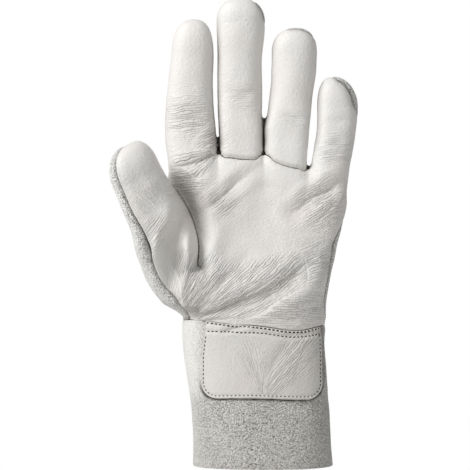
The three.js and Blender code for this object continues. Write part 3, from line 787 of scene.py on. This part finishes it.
def finger_gap_shade(p, out):
    """How much painted shade lies on the fingers' sides, from 0 to 1: where the next finger touches them,
    the most on left sides, and less on left sides that another finger stands close to."""
    _, fingers = hand_form(p)
    gap = np.sort(np.array(list(fingers.values())), 0)[1]
    side = np.clip(0.35 - 0.6 * out[:, 0], 0.05, 0.9)
    touching = np.exp(-((np.maximum(gap, 0) / 1.0) ** 1.5)) * ramp(181, 189, p[:, 2]) * side
    flank_shade = 0.75 * nearness(gap, 6) * ramp(-0.45, -0.85, out[:, 0]) * ramp(185, 194, p[:, 2])
    return np.maximum(touching, flank_shade)


def linear(hexed):
    """An sRGB colour as a hex number, turned to linear values."""
    parts = [(hexed >> shift & 255) / 255 for shift in (16, 8, 0)]
    return [c / 12.92 if c <= 0.04045 else ((c + 0.055) / 1.055) ** 2.4 for c in parts] + [1]


def node(tree, kind, inputs=None, **settings):
    """Adds one shader node with its settings. Each input is a value, a socket to link, or a node,
    whose first output is linked."""
    made = tree.nodes.new("ShaderNode" + kind)
    for name, value in settings.items():
        setattr(made, name, value)
    for name, value in (inputs or {}).items():
        if isinstance(value, bpy.types.Node):
            value = value.outputs[0]
        if isinstance(value, bpy.types.NodeSocket):
            tree.links.new(value, made.inputs[name])
        else:
            made.inputs[name].default_value = value
    return made


def new_material(name):
    """A new material, its empty node tree, and the place on its object in metres as a socket."""
    made = bpy.data.materials.new(name)
    made.use_nodes = True
    made.node_tree.nodes.clear()
    return made, made.node_tree, node(made.node_tree, "TexCoord").outputs["Object"]


def mesh_piece(name, shape, materials, marks):
    """A smooth shaded mesh object. Its shape is points in mm, faces, which faces have the second
    material, and the number of the mark that each point takes."""
    points, faces, second, source = shape
    mesh = bpy.data.meshes.new(name)
    mesh.from_pydata((points * 0.001).tolist(), [], faces.tolist())
    for label, values in marks.items():
        kind, field = ("FLOAT", "value") if values.ndim == 1 else ("FLOAT_VECTOR", "vector")
        layer = mesh.attributes.new(label, kind, "POINT")
        layer.data.foreach_set(field, values[source].astype(np.float32).ravel())
    for material in materials:
        mesh.materials.append(material)
    mesh.polygons.foreach_set("material_index", second.astype(np.int32))
    mesh.shade_smooth()
    mesh.validate()
    made = bpy.data.objects.new(name, mesh)
    bpy.context.scene.collection.objects.link(made)
    return made


# Darker colours mixed in as painted shade, on grain leather and on suede.
LEATHER_PAINTED_SHADE, SUEDE_PAINTED_SHADE = 0x7C766E, 0x35332E
WAVE = 0.314  # the wave texture comes again at this distance when its scale is 1


# Smooth grain leather, chrome tanned and off-white: a soft satin face with fine pores. The body
# colour drifts a little over the hide, and a darker colour is mixed in as painted shade in its creases,
# wrinkle grooves and hollows, beside its seams and between the fingers. Real pores are 0.2 mm wide
# and the finest wrinkles 0.5 mm apart, too fine to show, so both are drawn coarser here.
def grain_leather_material(name, light, dark):
    made, tree, place = new_material(name)
    drift = node(tree, "TexNoise", {"Vector": place, "Scale": 1000 / 26, "Detail": 3})
    body = node(tree, "MixRGB", {"Fac": drift, "Color1": linear(light), "Color2": linear(dark)})
    painted_shade = node(tree, "Attribute", attribute_name="painted_shade").outputs["Fac"]
    pores = node(tree, "TexVoronoi", {"Vector": place, "Scale": 1000 / 1.1})
    fine = node(tree, "TexNoise", {"Vector": place, "Scale": 1000 / 1.5, "Detail": 2, "Roughness": 0.6})
    # The mark flow holds the distances across and along the wrinkles in mm, and their strength.
    laid = node(tree, "Attribute", attribute_name="flow").outputs["Vector"]
    flow = node(tree, "SeparateXYZ", {"Vector": laid})
    slow = node(tree, "Math", {0: flow.outputs["Y"], 1: 0.42}, operation="MULTIPLY")
    run = node(tree, "CombineXYZ", {"X": flow.outputs["X"], "Y": slow})
    ripple = node(tree, "TexWave", {
        "Vector": run, "Scale": WAVE / 1.4, "Distortion": 7, "Detail": 1, "Detail Scale": 1.2})
    groups = node(tree, "TexNoise", {"Vector": run, "Scale": 1 / 4, "Detail": 1})
    shown = node(tree, "MapRange", {"Value": groups, "From Min": 0.3, "From Max": 0.6, "To Min": 0.25})
    strength = node(tree, "Math", {0: shown, 1: flow.outputs["Z"]}, operation="MULTIPLY")
    grooves = node(tree, "MapRange", {"Value": ripple.outputs["Fac"], "From Max": 0.6})
    ripples = node(tree, "Math", {0: grooves, 1: strength}, operation="MULTIPLY")
    # Painted shade: the grooves between the ripples are drawn darker, on top of the shade mark.
    lines = node(tree, "Math", {0: strength, 1: ripples}, operation="SUBTRACT")
    groove_shade = node(tree, "Math", {0: lines, 1: 0.1, 2: painted_shade}, operation="MULTIPLY_ADD")
    colour = node(tree, "MixRGB", {"Fac": groove_shade, "Color1": body, "Color2": linear(LEATHER_PAINTED_SHADE)})
    first = node(tree, "Bump", {"Strength": 1.0, "Distance": 0.00066, "Height": ripples})
    second = node(tree, "Bump", {"Strength": 0.8, "Distance": 0.0005, "Height": fine, "Normal": first})
    third = node(tree, "Bump", {"Strength": 0.1, "Distance": 0.0003, "Height": pores, "Normal": second})
    skin = node(tree, "BsdfPrincipled", {
        "Base Color": colour, "Roughness": 0.52, "Specular IOR Level": 0.42,
        "Sheen Weight": 0.12, "Sheen Roughness": 0.5, "Normal": third})
    node(tree, "OutputMaterial", {"Surface": skin})
    return made


# Split leather, the suede side out: dull, with short fibres that lie in drifts at about 45 degrees
# and dark pits between them. Real fibres are 0.1 mm thick, too fine to show, so the nap is drawn a
# little coarser than a real one: grain is its size in mm, and first_pit the level where pits begin.
def suede_material(name, light, dark, grain, first_pit=0.5):
    made, tree, place = new_material(name)
    combed = node(tree, "Mapping", {
        "Vector": place, "Rotation": (0, math.radians(-42), 0), "Scale": (1, 1, 1.7)}, vector_type="TEXTURE")
    nap = node(tree, "TexNoise", {
        "Vector": combed, "Scale": 1000 / grain, "Detail": 1, "Roughness": 0.35})
    drift = node(tree, "TexNoise", {"Vector": place, "Scale": 1000 / 14, "Detail": 2})
    mixed = node(tree, "MixRGB", {"Fac": 0.06, "Color1": nap, "Color2": drift})
    pits = node(tree, "MapRange", {
        "Value": mixed, "From Min": first_pit, "From Max": first_pit - 0.07})
    rough = node(tree, "Attribute", attribute_name="nap").outputs["Fac"]
    pitted = node(tree, "Math", {0: pits, 1: rough}, operation="MULTIPLY")
    body = node(tree, "MixRGB", {"Fac": pitted, "Color1": linear(light), "Color2": linear(dark)})
    # The shade mark mixes in a darker colour as painted shade.
    painted_shade = node(tree, "Attribute", attribute_name="painted_shade").outputs["Fac"]
    raised = node(tree, "Math", {0: nap, 1: rough}, operation="MULTIPLY")
    colour = node(tree, "MixRGB", {"Fac": painted_shade, "Color1": body, "Color2": linear(SUEDE_PAINTED_SHADE)})
    fibres = node(tree, "Bump", {"Strength": 1.0, "Distance": 0.0009, "Height": raised})
    skin = node(tree, "BsdfPrincipled", {
        "Base Color": colour, "Roughness": 0.95, "Specular IOR Level": 0.15,
        "Sheen Weight": 0.25, "Sheen Roughness": 0.6, "Normal": fibres})
    node(tree, "OutputMaterial", {"Surface": skin})
    return made


grain_leather = grain_leather_material("smooth_grain_leather", 0xE8E9E6, 0xE4DDDA)
flesh_side = suede_material("grain_leather_flesh_side", 0xD6D2CA, 0xAFAAA0, 0.6)

# Two corners of a box that holds the hand above the wrist seam.
low_corner, high_corner = (-99.5, -57.5, 78.5), (59.5, 33.5, 285.5)
points, faces = surface_of(glove_form, low_corner, high_corner, STEP)
whole_hand = evened(glove_form, points, faces), faces
WEB_FOLD = [(-52, 165), (-45, 155), (-39, 144)]  # between the thumb and the palm, painted darker here as shade in its hollow


def front_piece(name, rolls, root_tuck=0.3):
    """Shapes one grain leather piece of the hand's front: its folds, wrinkles, drawn-in edges and painted
    shade. Rolls are the radii of its edges, and root_tuck is how far it is drawn in at the fingers' roots
    and how much shade is painted there."""
    points, faces, coarse, out, roll, inward = piece_of(whole_hand, name, rolls)
    soft, sunk, fine = hand_relief(points)
    edge_near = nearness(np.minimum(inward["side"], inward["thumb"]), 1.5)
    root_near = nearness(inward["root"], 1 + 0.5 * root_tuck)
    tuck = 0.4 * edge_near + root_tuck * root_near + 0.1 * nearness(inward["wrist"], 2)
    shaped = lifted(points, out, soft - fine - tuck, sunk, inward)
    # Painted shade: darker in creases and folds, beside the seams, at the fingers' roots, in the web fold,
    # between the fingers and where the finest wrinkles are strong.
    painted_shade = 0.22 * np.maximum(fine, 0) + 0.03 * np.maximum(sunk, 0)
    painted_shade = painted_shade + 0.12 * edge_near + 0.25 * root_tuck * root_near
    if name == "palm":
        painted_shade += 0.06 * nearness(beside_line(points[:, 0], points[:, 2], WEB_FOLD)[0], 4.5)
    across, along, strength, _, family = flow_of(points[:, 0], points[:, 2])
    # No ripples on triangles whose corners belong to two families, and weak ones beside them.
    mixed = np.zeros(len(points), bool)
    mixed[faces[family[faces].min(1) != family[faces].max(1)]] = True
    beside = mixed.copy()
    beside[faces[mixed[faces].any(1)]] = True
    strength = strength * np.where(mixed, 0, np.where(beside, 0.4, 1))
    marks = {"painted_shade": np.clip(painted_shade + 0.85 * finger_gap_shade(points, out) + 0.07 * strength, 0, 0.9),
             "flow": np.stack([across, along, strength], 1)}
    shape = leather_wall(shaped, faces, roll, WALL, coarse, 0.7)
    return mesh_piece(name + "_leather", shape, [grain_leather, flesh_side], marks)


palm = front_piece("palm", ROLLS)
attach(palm, "root")
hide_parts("palm")

# Middle and ring finger fronts
# Two fingers of grain leather, each sewn to the palm by a seam across its root and to the back of the
# hand by the seam up both its sides and over the tip. Their turned lower edges roll over the palm's.

for name in ("middle_finger_front", "ring_finger_front"):
    finger_front = front_piece(name, dict(ROLLS, root=0.9), 1.0)
    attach(finger_front, "root")
    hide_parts(name)

# Back of the hand
# One piece of split leather with its suede side out, over the back of the hand and the four fingers.
# Its edge shows as a thin pale rim where the side seam comes forward at three fingertips.

suede = suede_material("split_leather_suede", 0xFAF9F7, 0x7A756F, 0.38)


def suede_piece(name, tucked):
    """Shapes one suede piece of the hand, drawn in by tucked mm beside its seams and painted darker there as
    shade.
    """
    points, faces, coarse, out, roll, inward = piece_of(whole_hand, name, ROLLS)
    soft, sunk, fine = hand_relief(points)
    seam_far = np.minimum(inward["side"], inward["thumb"])
    shaped = lifted(points, out, soft - fine - tucked * nearness(seam_far, 2.0), sunk, inward)
    # Painted shade: a dark line beside the side and thumb seams, and more between the fingers.
    painted_shade = 0.45 * nearness(seam_far, 0.75) + 0.55 * finger_gap_shade(points, out)
    marks = {"painted_shade": np.clip(painted_shade, 0, 0.7), "nap": 0.6 + 0.4 * nearness(inward["side"], 4)}
    shape = leather_wall(shaped, faces, roll, WALL, coarse, 0.8)
    return mesh_piece(name + "_suede", shape, [suede, flesh_side], marks)


hand_back = suede_piece("hand_back", 0.7)
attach(hand_back, "root")
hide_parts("hand_back")

# Thumb
# The thumb's grain leather front, and its suede back, which shows as a strip along the left. The front
# is sewn over the back, so that its turned edge stands out as a thin bright line over a dark one; the
# dark line is partly painted shade on the suede beside the seam.

thumb_front = front_piece("thumb_front", ROLLS)
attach(thumb_front, "root")
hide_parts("thumb_front")

thumb_back = suede_piece("thumb_back", 1.1)
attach(thumb_back, "root")
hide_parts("thumb_back")

# Cuff
# A tube of split leather, suede side out, sewn to the hand at the wrist and cut off raw at its open
# end. It flares a little towards the front and back of that end.

CUFF_LENGTH = 85  # from the open end to the wrist seam
# Sections of the cuff: height, left and right edge, and depth to the front and to the back.
CUFF_AT = curves([
    (0, -42.0, 42.0, 31.5, 31.5), (14, -42.1, 41.0, 31.0, 31.0), (34, -43.2, 39.9, 29.6, 29.6),
    (53, -46.0, 38.0, 28.0, 27.2), (72, -48.1, 36.9, 26.4, 24.4), (80, -48.3, 37.0, 26.2, 24.0),
    (88, -48.6, 37.2, 25.4, 23.4),
])


def cuff_point(angle, z, grown):
    """Points of the cuff's outer face, grown outwards. The angle runs from the right over the back."""
    left, right, front, back = (column(z) for column in CUFF_AT)
    c, s = np.cos(angle), np.sin(angle)
    reach = (np.abs(c) ** OVAL + np.abs(s) ** OVAL) ** (-1 / OVAL)
    x = (right + left) / 2 + ((right - left) / 2 + grown) * c * reach
    y = (np.where(s < 0, front, back) + grown) * s * reach
    height = z * wrist_line(x) / CUFF_LENGTH
    return np.stack([x, y + middle(x, height), height], -1)


def grid_faces(rows, columns, closed):
    """Triangles of a grid of rows of points, closed round its columns where it is a tube."""
    wide = columns if closed else columns - 1
    r, c = (a.ravel() for a in np.meshgrid(np.arange(rows - 1), np.arange(wide), indexing="ij"))
    near, far = r * columns + c, r * columns + (c + 1) % columns
    return np.concatenate([
        np.stack([near, far, far + columns], 1), np.stack([near, far + columns, near + columns], 1)])


def wrist_tuck(points, level):
    """How far the cuff's leather is drawn in at the wrist seam, the more so under the vein patch."""
    under_patch = ramp(-38, -34, points[:, 0]) * ramp(37, 33, points[:, 0]) * ramp(0, -8, points[:, 1])
    return 0.5 * nearness(CUFF_LENGTH - level, 1.8) + 1.0 * ramp(74, 84, level) * under_patch


# The vein patch's edges, the radius of its lower corners, how far both sides lean in towards the
# wrist, and how deep its lower edge waves. The cuff's shade follows them.
PATCH_LEFT, PATCH_RIGHT, PATCH_BOTTOM, PATCH_CORNER = -36.9, 35.3, 41.5, 9.5
PATCH_LEAN_LEFT, PATCH_LEAN_RIGHT, PATCH_WAVE = 2.2, -0.6, 0.6


def patch_wave(x):
    """The slight wave of the patch's lower edge."""
    return PATCH_WAVE * np.cos((x + 10) / 14)


def patch_edge(x, z):
    """Distance outside the patch's outline, seen from the front."""
    lean = ramp(62, 86, z)
    left = PATCH_LEFT + PATCH_LEAN_LEFT * lean
    right = PATCH_RIGHT + PATCH_LEAN_RIGHT * lean
    across = np.abs(x - (left + right) / 2) - (right - left) / 2 + PATCH_CORNER
    down = PATCH_BOTTOM + patch_wave(x) - z + PATCH_CORNER
    corner = np.hypot(np.maximum(across, 0), np.maximum(down, 0)) - PATCH_CORNER
    return np.maximum(corner, np.maximum(np.minimum(across, 0), np.minimum(down, 0)) - PATCH_CORNER)


# The cuff's suede has a finer nap than the hand's, and is drawn a little greyer as painted shade that
# darkens the whole cuff.
cuff_suede = suede_material("cuff_split_leather_suede", 0xF1EFEA, 0x46423D, 0.31, 0.485)

CUFF_AROUND, CUFF_ROWS = ((300, 112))
around = np.linspace(0, 2 * np.pi, CUFF_AROUND, endpoint=False)
heights = np.linspace(0.35, 84.5, CUFF_ROWS)
points = cuff_point(*np.meshgrid(around, heights), 0.0).reshape(-1, 3)
faces = grid_faces(CUFF_ROWS, CUFF_AROUND, True)
out = normals_of(points, faces)
x, y, z = points.T
up = np.repeat(heights, CUFF_AROUND)
soft = 0.5 * noise(points, 22, 51) + 0.15 * noise(points, 7, 52)
blend = ramp(72, 84, up)
meeting, _, _ = hand_relief(points)
shaped = points + out * (soft * (1 - blend) + meeting * blend - wrist_tuck(points, up))[:, None]
# A painted shadow lies along the patch's edge, most round its lower end, and a little painted shade
# at the wrist seam; the raw end is a little darker. The nap shows in front, less at the left edge and
# behind.
outside = np.maximum(patch_edge(x, z) + 0.5 * noise(points, 2.5, 53), 0)
low_edge = 0.06 + 0.94 * np.maximum(ramp(54, 44, z), 0.4 * ramp(24, 34, x))
patch_edge_shadow = 0.95 * np.exp(-((outside / 1.45) ** 4)) + 0.06 * np.exp(-outside / 4)
painted_shade = 0.1 * ramp(83, 85, up) + 0.08 * np.exp(-up / 1.2) + patch_edge_shadow * low_edge * (y < 0)
nap = 0.34 + 0.62 * ramp(-46, -26, x + 9 * ramp(48, 34, up)) * ramp(24, -2, y)
nap += 0.15 * ramp(46, 30, up) * ramp(-42, -30, x) * ramp(8, -8, y)
cuff = mesh_piece(
    "cuff_suede", leather_wall(shaped, faces, np.where(up > 40, 0.5, 0.3), WALL),
    [cuff_suede, flesh_side], {"painted_shade": np.clip(painted_shade, 0, 0.95), "nap": nap})
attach(cuff, "root")
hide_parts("cuff")

# Vein patch
# A patch of grain leather over the veins of the wrist, with rounded lower corners. It is stitched
# down close to its edge, and its top goes into the wrist seam with the cuff.

PATCH_WALL = 1.4
PATCH_LIFT = 0.3 + PATCH_WALL  # its outer face stands this far out of the cuff's form
STITCH_INSET = 1.3  # from the patch's edge to the stitches along it
# Height of the lower stitch row along the wrist, from left to right.
row_two = curve(
    [-48, -34.4, -14.7, -0.6, 15.5, 22.3, 33.1, 38], [80.4, 80.8, 80.2, 79.6, 77.3, 77.3, 78.7, 79.2])
# Creases of the patch as lines of (x, z), with their depth and half width.
PATCH_CREASES = [
    ([(-24, 80.5), (-16.2, 83.0), (-9.8, 84.4)], 0.9, 1.2), ([(15, 75), (8, 66), (3, 55)], 0.6, 3.2),
    ([(31, 77), (17, 64), (2.6, 48)], 0.12, 1.0), ([(29, 71), (16, 58), (6, 48)], 0.08, 1.0),
    ([(24, 77), (12, 65), (0, 48)], 0.08, 0.9), ([(-11, 73.5), (-6.8, 60), (-1.4, 46.5)], 0.15, 3),
    ([(-5, 82), (12, 78.6), (33, 80)], 0.7, 1.6),
]
# Two fans of fine wrinkles: their root (x, z), direction and spread, and where they start and end.
FANS = ((-10, 32, 0.82, 0.24, 20, 78), (1, 38, 1.89, 0.24, 10, 48))


def patch_creases(x, z):
    """Depth of the patch's creases."""
    return sum(crease(x, z, *line) for line in PATCH_CREASES)


def patch_relief(x, z):
    """How far the patch's face stands out of the cuff's form: padded, and pulled in at its stitches."""
    inside_edge = np.maximum(-patch_edge(x, z), 0)
    padded = 0.5 * (1 - np.exp(-inside_edge / 5)) + 0.5 * np.exp(-inside_edge / 0.8) * ramp(60, 46, z)
    rows = 0.4 * nearness(inside_edge - STITCH_INSET, 0.8) + 0.5 * nearness(z - row_two(x), 1.1)
    hemmed = 1.1 * ramp(80.5, 86, z * CUFF_LENGTH / wrist_line(x)) * (0.6 + 0.4 * ramp(-14, 0, x))
    return padded - rows - hemmed - patch_creases(x, z)


def patch_soft(points):
    """Slight unevenness of the patch's face."""
    return 0.25 * noise(points, 15, 61) + 0.1 * noise(points, 6, 62)


# Grain leather like the hand's, drawn a little greyer as painted shade that darkens the whole patch.
patch_leather = grain_leather_material("patch_grain_leather", 0xD7D7D3, 0xD6CFCB)

PATCH_AROUND, PATCH_ROWS = ((260, 100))
around = np.linspace(math.radians(183), math.radians(357), PATCH_AROUND)
heights = np.linspace(38, 84.75, PATCH_ROWS)
points = cuff_point(*np.meshgrid(around, heights), PATCH_LIFT).reshape(-1, 3)
faces = grid_faces(PATCH_ROWS, PATCH_AROUND, False)
points, faces = trimmed(points, faces, lambda p: patch_edge(p[:, 0], p[:, 2]) + 0.6)
out = normals_of(points, faces)
x, _, z = points.T
shaped = points + out * (patch_relief(x, z) + patch_soft(points))[:, None]
inside_edge = np.maximum(-patch_edge(x, z), 0)
# Painted shade in the patch's creases and along its edge.
painted_shade = np.clip(0.3 * patch_creases(x, z) + 0.2 * np.exp(-inside_edge / 1.0), 0, 0.5)
fans = []
for root_x, root_z, lean, wide, near, far in FANS:
    turn = np.arctan2(z - root_z, x - root_x) - lean
    reach = np.hypot(x - root_x, z - root_z)
    fading = nearness(turn, wide) * ramp(near - 6, near, reach) * ramp(far, far - 22, reach)
    fans.append(np.stack([math.sqrt(2.4 * near) * turn * np.sqrt(reach), reach, fading], 1))
right, left = fans
flow = np.where((right[:, 2] > 0.5 * left[:, 2])[:, None], right, left * (1, 1, 0.6))
flow[:, 2] = 0.7 * flow[:, 2] + 0.05
vein_patch = mesh_piece(
    "vein_patch_leather", leather_wall(shaped, faces, 0.6 - 0.4 * ramp(76, 80, z), PATCH_WALL),
    [patch_leather, flesh_side], {"painted_shade": painted_shade, "flow": flow})
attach(vein_patch, "root")
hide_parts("vein_patch")

# Stitches
# Lockstitch rows in off-white twisted thread, about four stitches to the centimetre: two along the
# patch's top at the wrist, and one round the patch, close inside its edge. Each stitch dips into the
# leather at both ends, in a hole drawn as a dark disc of painted shade.

STITCH, THREAD = 2.4, 0.38  # length of a stitch with its hole, and radius of the thread
THREAD_RINGS, THREAD_SIDES, HOLE_SIDES = 7, 8, 10  # how finely each is drawn


# Sewing thread twisted of several strands: dull and pale, a little darker between the strands.
def thread_material():
    made, tree, place = new_material("twisted_sewing_thread")
    twist = node(tree, "TexNoise", {"Vector": place, "Scale": 1000 / 0.5, "Detail": 2})
    colour = node(tree, "MixRGB", {"Fac": twist, "Color1": linear(0xF4F2EC), "Color2": linear(0xDDD9CF)})
    bumps = node(tree, "Bump", {"Strength": 0.5, "Distance": 0.0001, "Height": twist})
    fibre = node(tree, "BsdfPrincipled", {"Base Color": colour, "Roughness": 0.7, "Normal": bumps})
    node(tree, "OutputMaterial", {"Surface": fibre})
    return made


# A needle hole: a dark disc of painted shade, as no light gets into the hole.
def hole_shade_material():
    made, tree, place = new_material("needle_hole_shade")
    speckle = node(tree, "TexNoise", {"Vector": place, "Scale": 1000 / 0.6, "Detail": 1})
    colour = node(tree, "MixRGB", {"Fac": speckle, "Color1": linear(0x2B2924), "Color2": linear(0x403C36)})
    shade = node(tree, "BsdfPrincipled", {"Base Color": colour, "Roughness": 0.9})
    node(tree, "OutputMaterial", {"Surface": shade})
    return made


def front_face(x, z, grown):
    """Points of the cuff's grown form at (x, z) on its front."""
    level = z * CUFF_LENGTH / wrist_line(x)
    left, right, front, _ = (column(level) for column in CUFF_AT)
    u = np.clip(np.abs(x - (right + left) / 2) / ((right - left) / 2 + grown), 0, 0.999)
    y = middle(x, z) - (front + grown) * (1 - u**OVAL) ** (1 / OVAL)
    return np.stack([x, y, z], 1)


def on_patch(x, z):
    """Points of the patch's face at (x, z), and the directions out of it."""
    base = front_face(x, z, PATCH_LIFT)
    slope_x = (front_face(x + 0.2, z, PATCH_LIFT) - front_face(x - 0.2, z, PATCH_LIFT)) / 0.4
    slope_z = (front_face(x, z + 0.2, PATCH_LIFT) - front_face(x, z - 0.2, PATCH_LIFT)) / 0.4
    out = unit(np.cross(slope_x, slope_z))
    out *= np.where(out[:, 1:2] > 0, -1, 1)
    return base + out * (patch_relief(x, z) + patch_soft(base))[:, None], out


def fan_faces(first, count, tip):
    """Triangles from a ring of points, numbered from first on, to the point at its tip."""
    k = np.arange(count)
    return np.stack([first + k, first + (k + 1) % count, np.full(count, tip)], 1)


def joined(shapes):
    """One shape from several, each with its points, faces and marks."""
    points, faces, marks = zip(*shapes)
    starts = np.cumsum([0] + [len(part) for part in points[:-1]])
    faces = [part + start for part, start in zip(faces, starts)]
    return np.concatenate(points), np.concatenate(faces), np.concatenate(marks)


def stitches(path, out):
    """Threads and holes along a path over the leather, as points, faces and a mark for the holes."""
    run = lengths_along(path)
    count = max(1, int(run[-1] / STITCH))
    ends = THREAD_RINGS * THREAD_SIDES
    thread_faces = np.concatenate([
        grid_faces(THREAD_RINGS, THREAD_SIDES, True)[:, ::-1], fan_faces(0, THREAD_SIDES, ends)[:, ::-1],
        fan_faces(ends - THREAD_SIDES, THREAD_SIDES, ends + 1)])
    hole_faces = np.concatenate([
        fan_faces(0, HOLE_SIDES, HOLE_SIDES), fan_faces(0, HOLE_SIDES, HOLE_SIDES + 1)[:, [1, 0, 2]]])
    hump = np.sin(np.pi * np.linspace(0, 1, THREAD_RINGS))
    thick = THREAD * (0.55 + 0.45 * np.sqrt(hump))
    round_thread = np.linspace(0, 2 * np.pi, THREAD_SIDES, endpoint=False)[None, :, None]
    round_hole = np.linspace(0, 2 * np.pi, HOLE_SIDES, endpoint=False)[:, None]
    shapes = []
    for n in range(count):
        at = (n + 0.5) * run[-1] / count + np.linspace(-0.2, 0.2, THREAD_RINGS) * STITCH
        line, up = sampled(at, run, path), unit(sampled(at, run, out))
        ahead = unit(np.gradient(line, axis=0))
        side = np.cross(up, ahead)
        line = line + up * (0.62 * THREAD * hump - 0.5 * THREAD)[:, None]  # its ends dip in
        rings = line[:, None] + thick[:, None, None] * (
            np.cos(round_thread) * side[:, None] + 0.8 * np.sin(round_thread) * up[:, None])
        thread = np.concatenate([rings.reshape(-1, 3), line[:1], line[-1:]])
        shapes.append((thread, thread_faces, np.zeros(len(thread_faces), bool)))
        edge = (n + 1) * run[-1] / count
        spot, over = sampled(edge, run, path), unit(sampled(edge, run, out))
        flat = unit(np.cross(over, ahead[THREAD_RINGS // 2]))
        run_way = np.cross(flat, over)
        half = 0.6 if spot[2] < PATCH_BOTTOM + 2.5 else 0.95  # a hole is shorter along the lower edge
        ring = spot + 0.5 * np.cos(round_hole) * flat + half * np.sin(round_hole) * run_way + 0.02 * over
        hole = np.concatenate([ring, [spot + 0.16 * over], [spot - 0.3 * over]])
        shapes.append((hole, hole_faces, np.ones(len(hole_faces), bool)))
    return joined(shapes)


def patch_outline_path(inset):
    """A line round the patch, from the top left down, along the bottom and up the right."""
    left, right = PATCH_LEFT + inset, PATCH_RIGHT - inset
    low, corner = PATCH_BOTTOM + inset, PATCH_CORNER - inset

    def corner_arc(middle_x, start):
        turn = np.radians(np.linspace(start, start + 90, 12))
        return np.stack([middle_x + corner * np.cos(turn), low + corner + corner * np.sin(turn)], 1)

    path = np.concatenate([
        [(left, 79.5), (left, 70), (left, 60)], corner_arc(left + corner, 180),
        corner_arc(right - corner, 270), [(right, 60), (right, 70), (right, 77.5)]])
    run = lengths_along(path)
    x, z = sampled(np.linspace(0, run[-1], 240), run, path).T
    x = x + np.where(x < 0, PATCH_LEAN_LEFT, PATCH_LEAN_RIGHT) * ramp(62, 86, z)
    return x, z + patch_wave(x) * ramp(56, 44, z)


lower = np.linspace(PATCH_LEFT + 2.4, PATCH_RIGHT - 2.2, 160)
upper = np.linspace(PATCH_LEFT + 2.0, PATCH_RIGHT - 2.2, 160)
points, faces, holes = joined([
    stitches(*on_patch(*patch_outline_path(STITCH_INSET))), stitches(*on_patch(lower, row_two(lower))),
    stitches(*on_patch(upper, wrist_line(upper) - 1.0))])
wrist_stitches = mesh_piece(
    "wrist_stitches", (points, faces, holes, None), [thread_material(), hole_shade_material()], {})
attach(wrist_stitches, "root")

# Floor, light and camera
# A pale disc far below the glove, which is held up, one large soft light up on the left of the
# viewer, weaker ones on the right and behind, and the camera level with the middle of the glove.

GLOVE_MIDDLE = (-0.016, 0, 0.14)  # in metres, like all in this section

floor_mesh = bpy.data.meshes.new("floor")
turn = np.linspace(0, 2 * np.pi, 96, endpoint=False)
floor_points = np.stack([0.65 * np.cos(turn), 0.65 * np.sin(turn), np.full(96, -0.16)], 1)
floor_mesh.from_pydata(floor_points.tolist(), [], [list(range(96))])
floor = bpy.data.objects.new("floor", floor_mesh)
bpy.context.scene.collection.objects.link(floor)
# Matt off-white paint.
paint = bpy.data.materials.new("pale_studio_floor")
paint.use_nodes = True
paint.node_tree.nodes["Principled BSDF"].inputs["Base Color"].default_value = linear(0xE8E8E6)
paint.node_tree.nodes["Principled BSDF"].inputs["Roughness"].default_value = 0.9
floor_mesh.materials.append(paint)

# The camera sees a white world, and the glove is lit by a dimmer one.
world = bpy.data.worlds.new("studio")
bpy.context.scene.world = world
world.use_nodes = True
tree = world.node_tree
tree.nodes.clear()
seen = node(tree, "Background", {"Color": (1, 1, 1, 1), "Strength": 1.0})
cast = node(tree, "Background", {"Color": (1, 0.995, 0.98, 1), "Strength": 0.37})
either = node(tree, "MixShader", {
    0: node(tree, "LightPath").outputs["Is Camera Ray"], 1: cast, 2: seen})
node(tree, "OutputWorld", {"Surface": either})


def soft_light(name, place, size, power):
    """A square light that is turned to the middle of the glove."""
    lamp = bpy.data.lights.new(name, "AREA")
    lamp.shape = "RECTANGLE"
    lamp.size, lamp.size_y, lamp.energy = size, size, power
    made = bpy.data.objects.new(name, lamp)
    made.location = place
    aim = Vector(np.array(GLOVE_MIDDLE) - np.array(place))
    made.rotation_euler = aim.to_track_quat("-Z", "Y").to_euler()
    bpy.context.scene.collection.objects.link(made)


soft_light("key", (-0.82, -0.66, 0.80), 0.42, 12.5)
soft_light("fill", (0.8, -1.2, 0.4), 0.9, 1.5)
soft_light("back", (0.1, 1.3, 0.35), 0.6, 4)

CAMERA_FAR, SEEN_WIDTH = 1.25, 0.282  # from the camera to the glove, and the width it sees there
camera_data = bpy.data.cameras.new("camera")
camera_data.sensor_width = 36
camera_data.lens = 36 * CAMERA_FAR / SEEN_WIDTH
camera = bpy.data.objects.new("camera", camera_data)
camera.location = (-0.0168, -CAMERA_FAR, 0.1374)
camera.rotation_euler = (math.radians(90), 0, 0)
bpy.context.scene.collection.objects.link(camera)
bpy.context.scene.camera = camera
bpy.context.scene.view_settings.view_transform = "Standard"
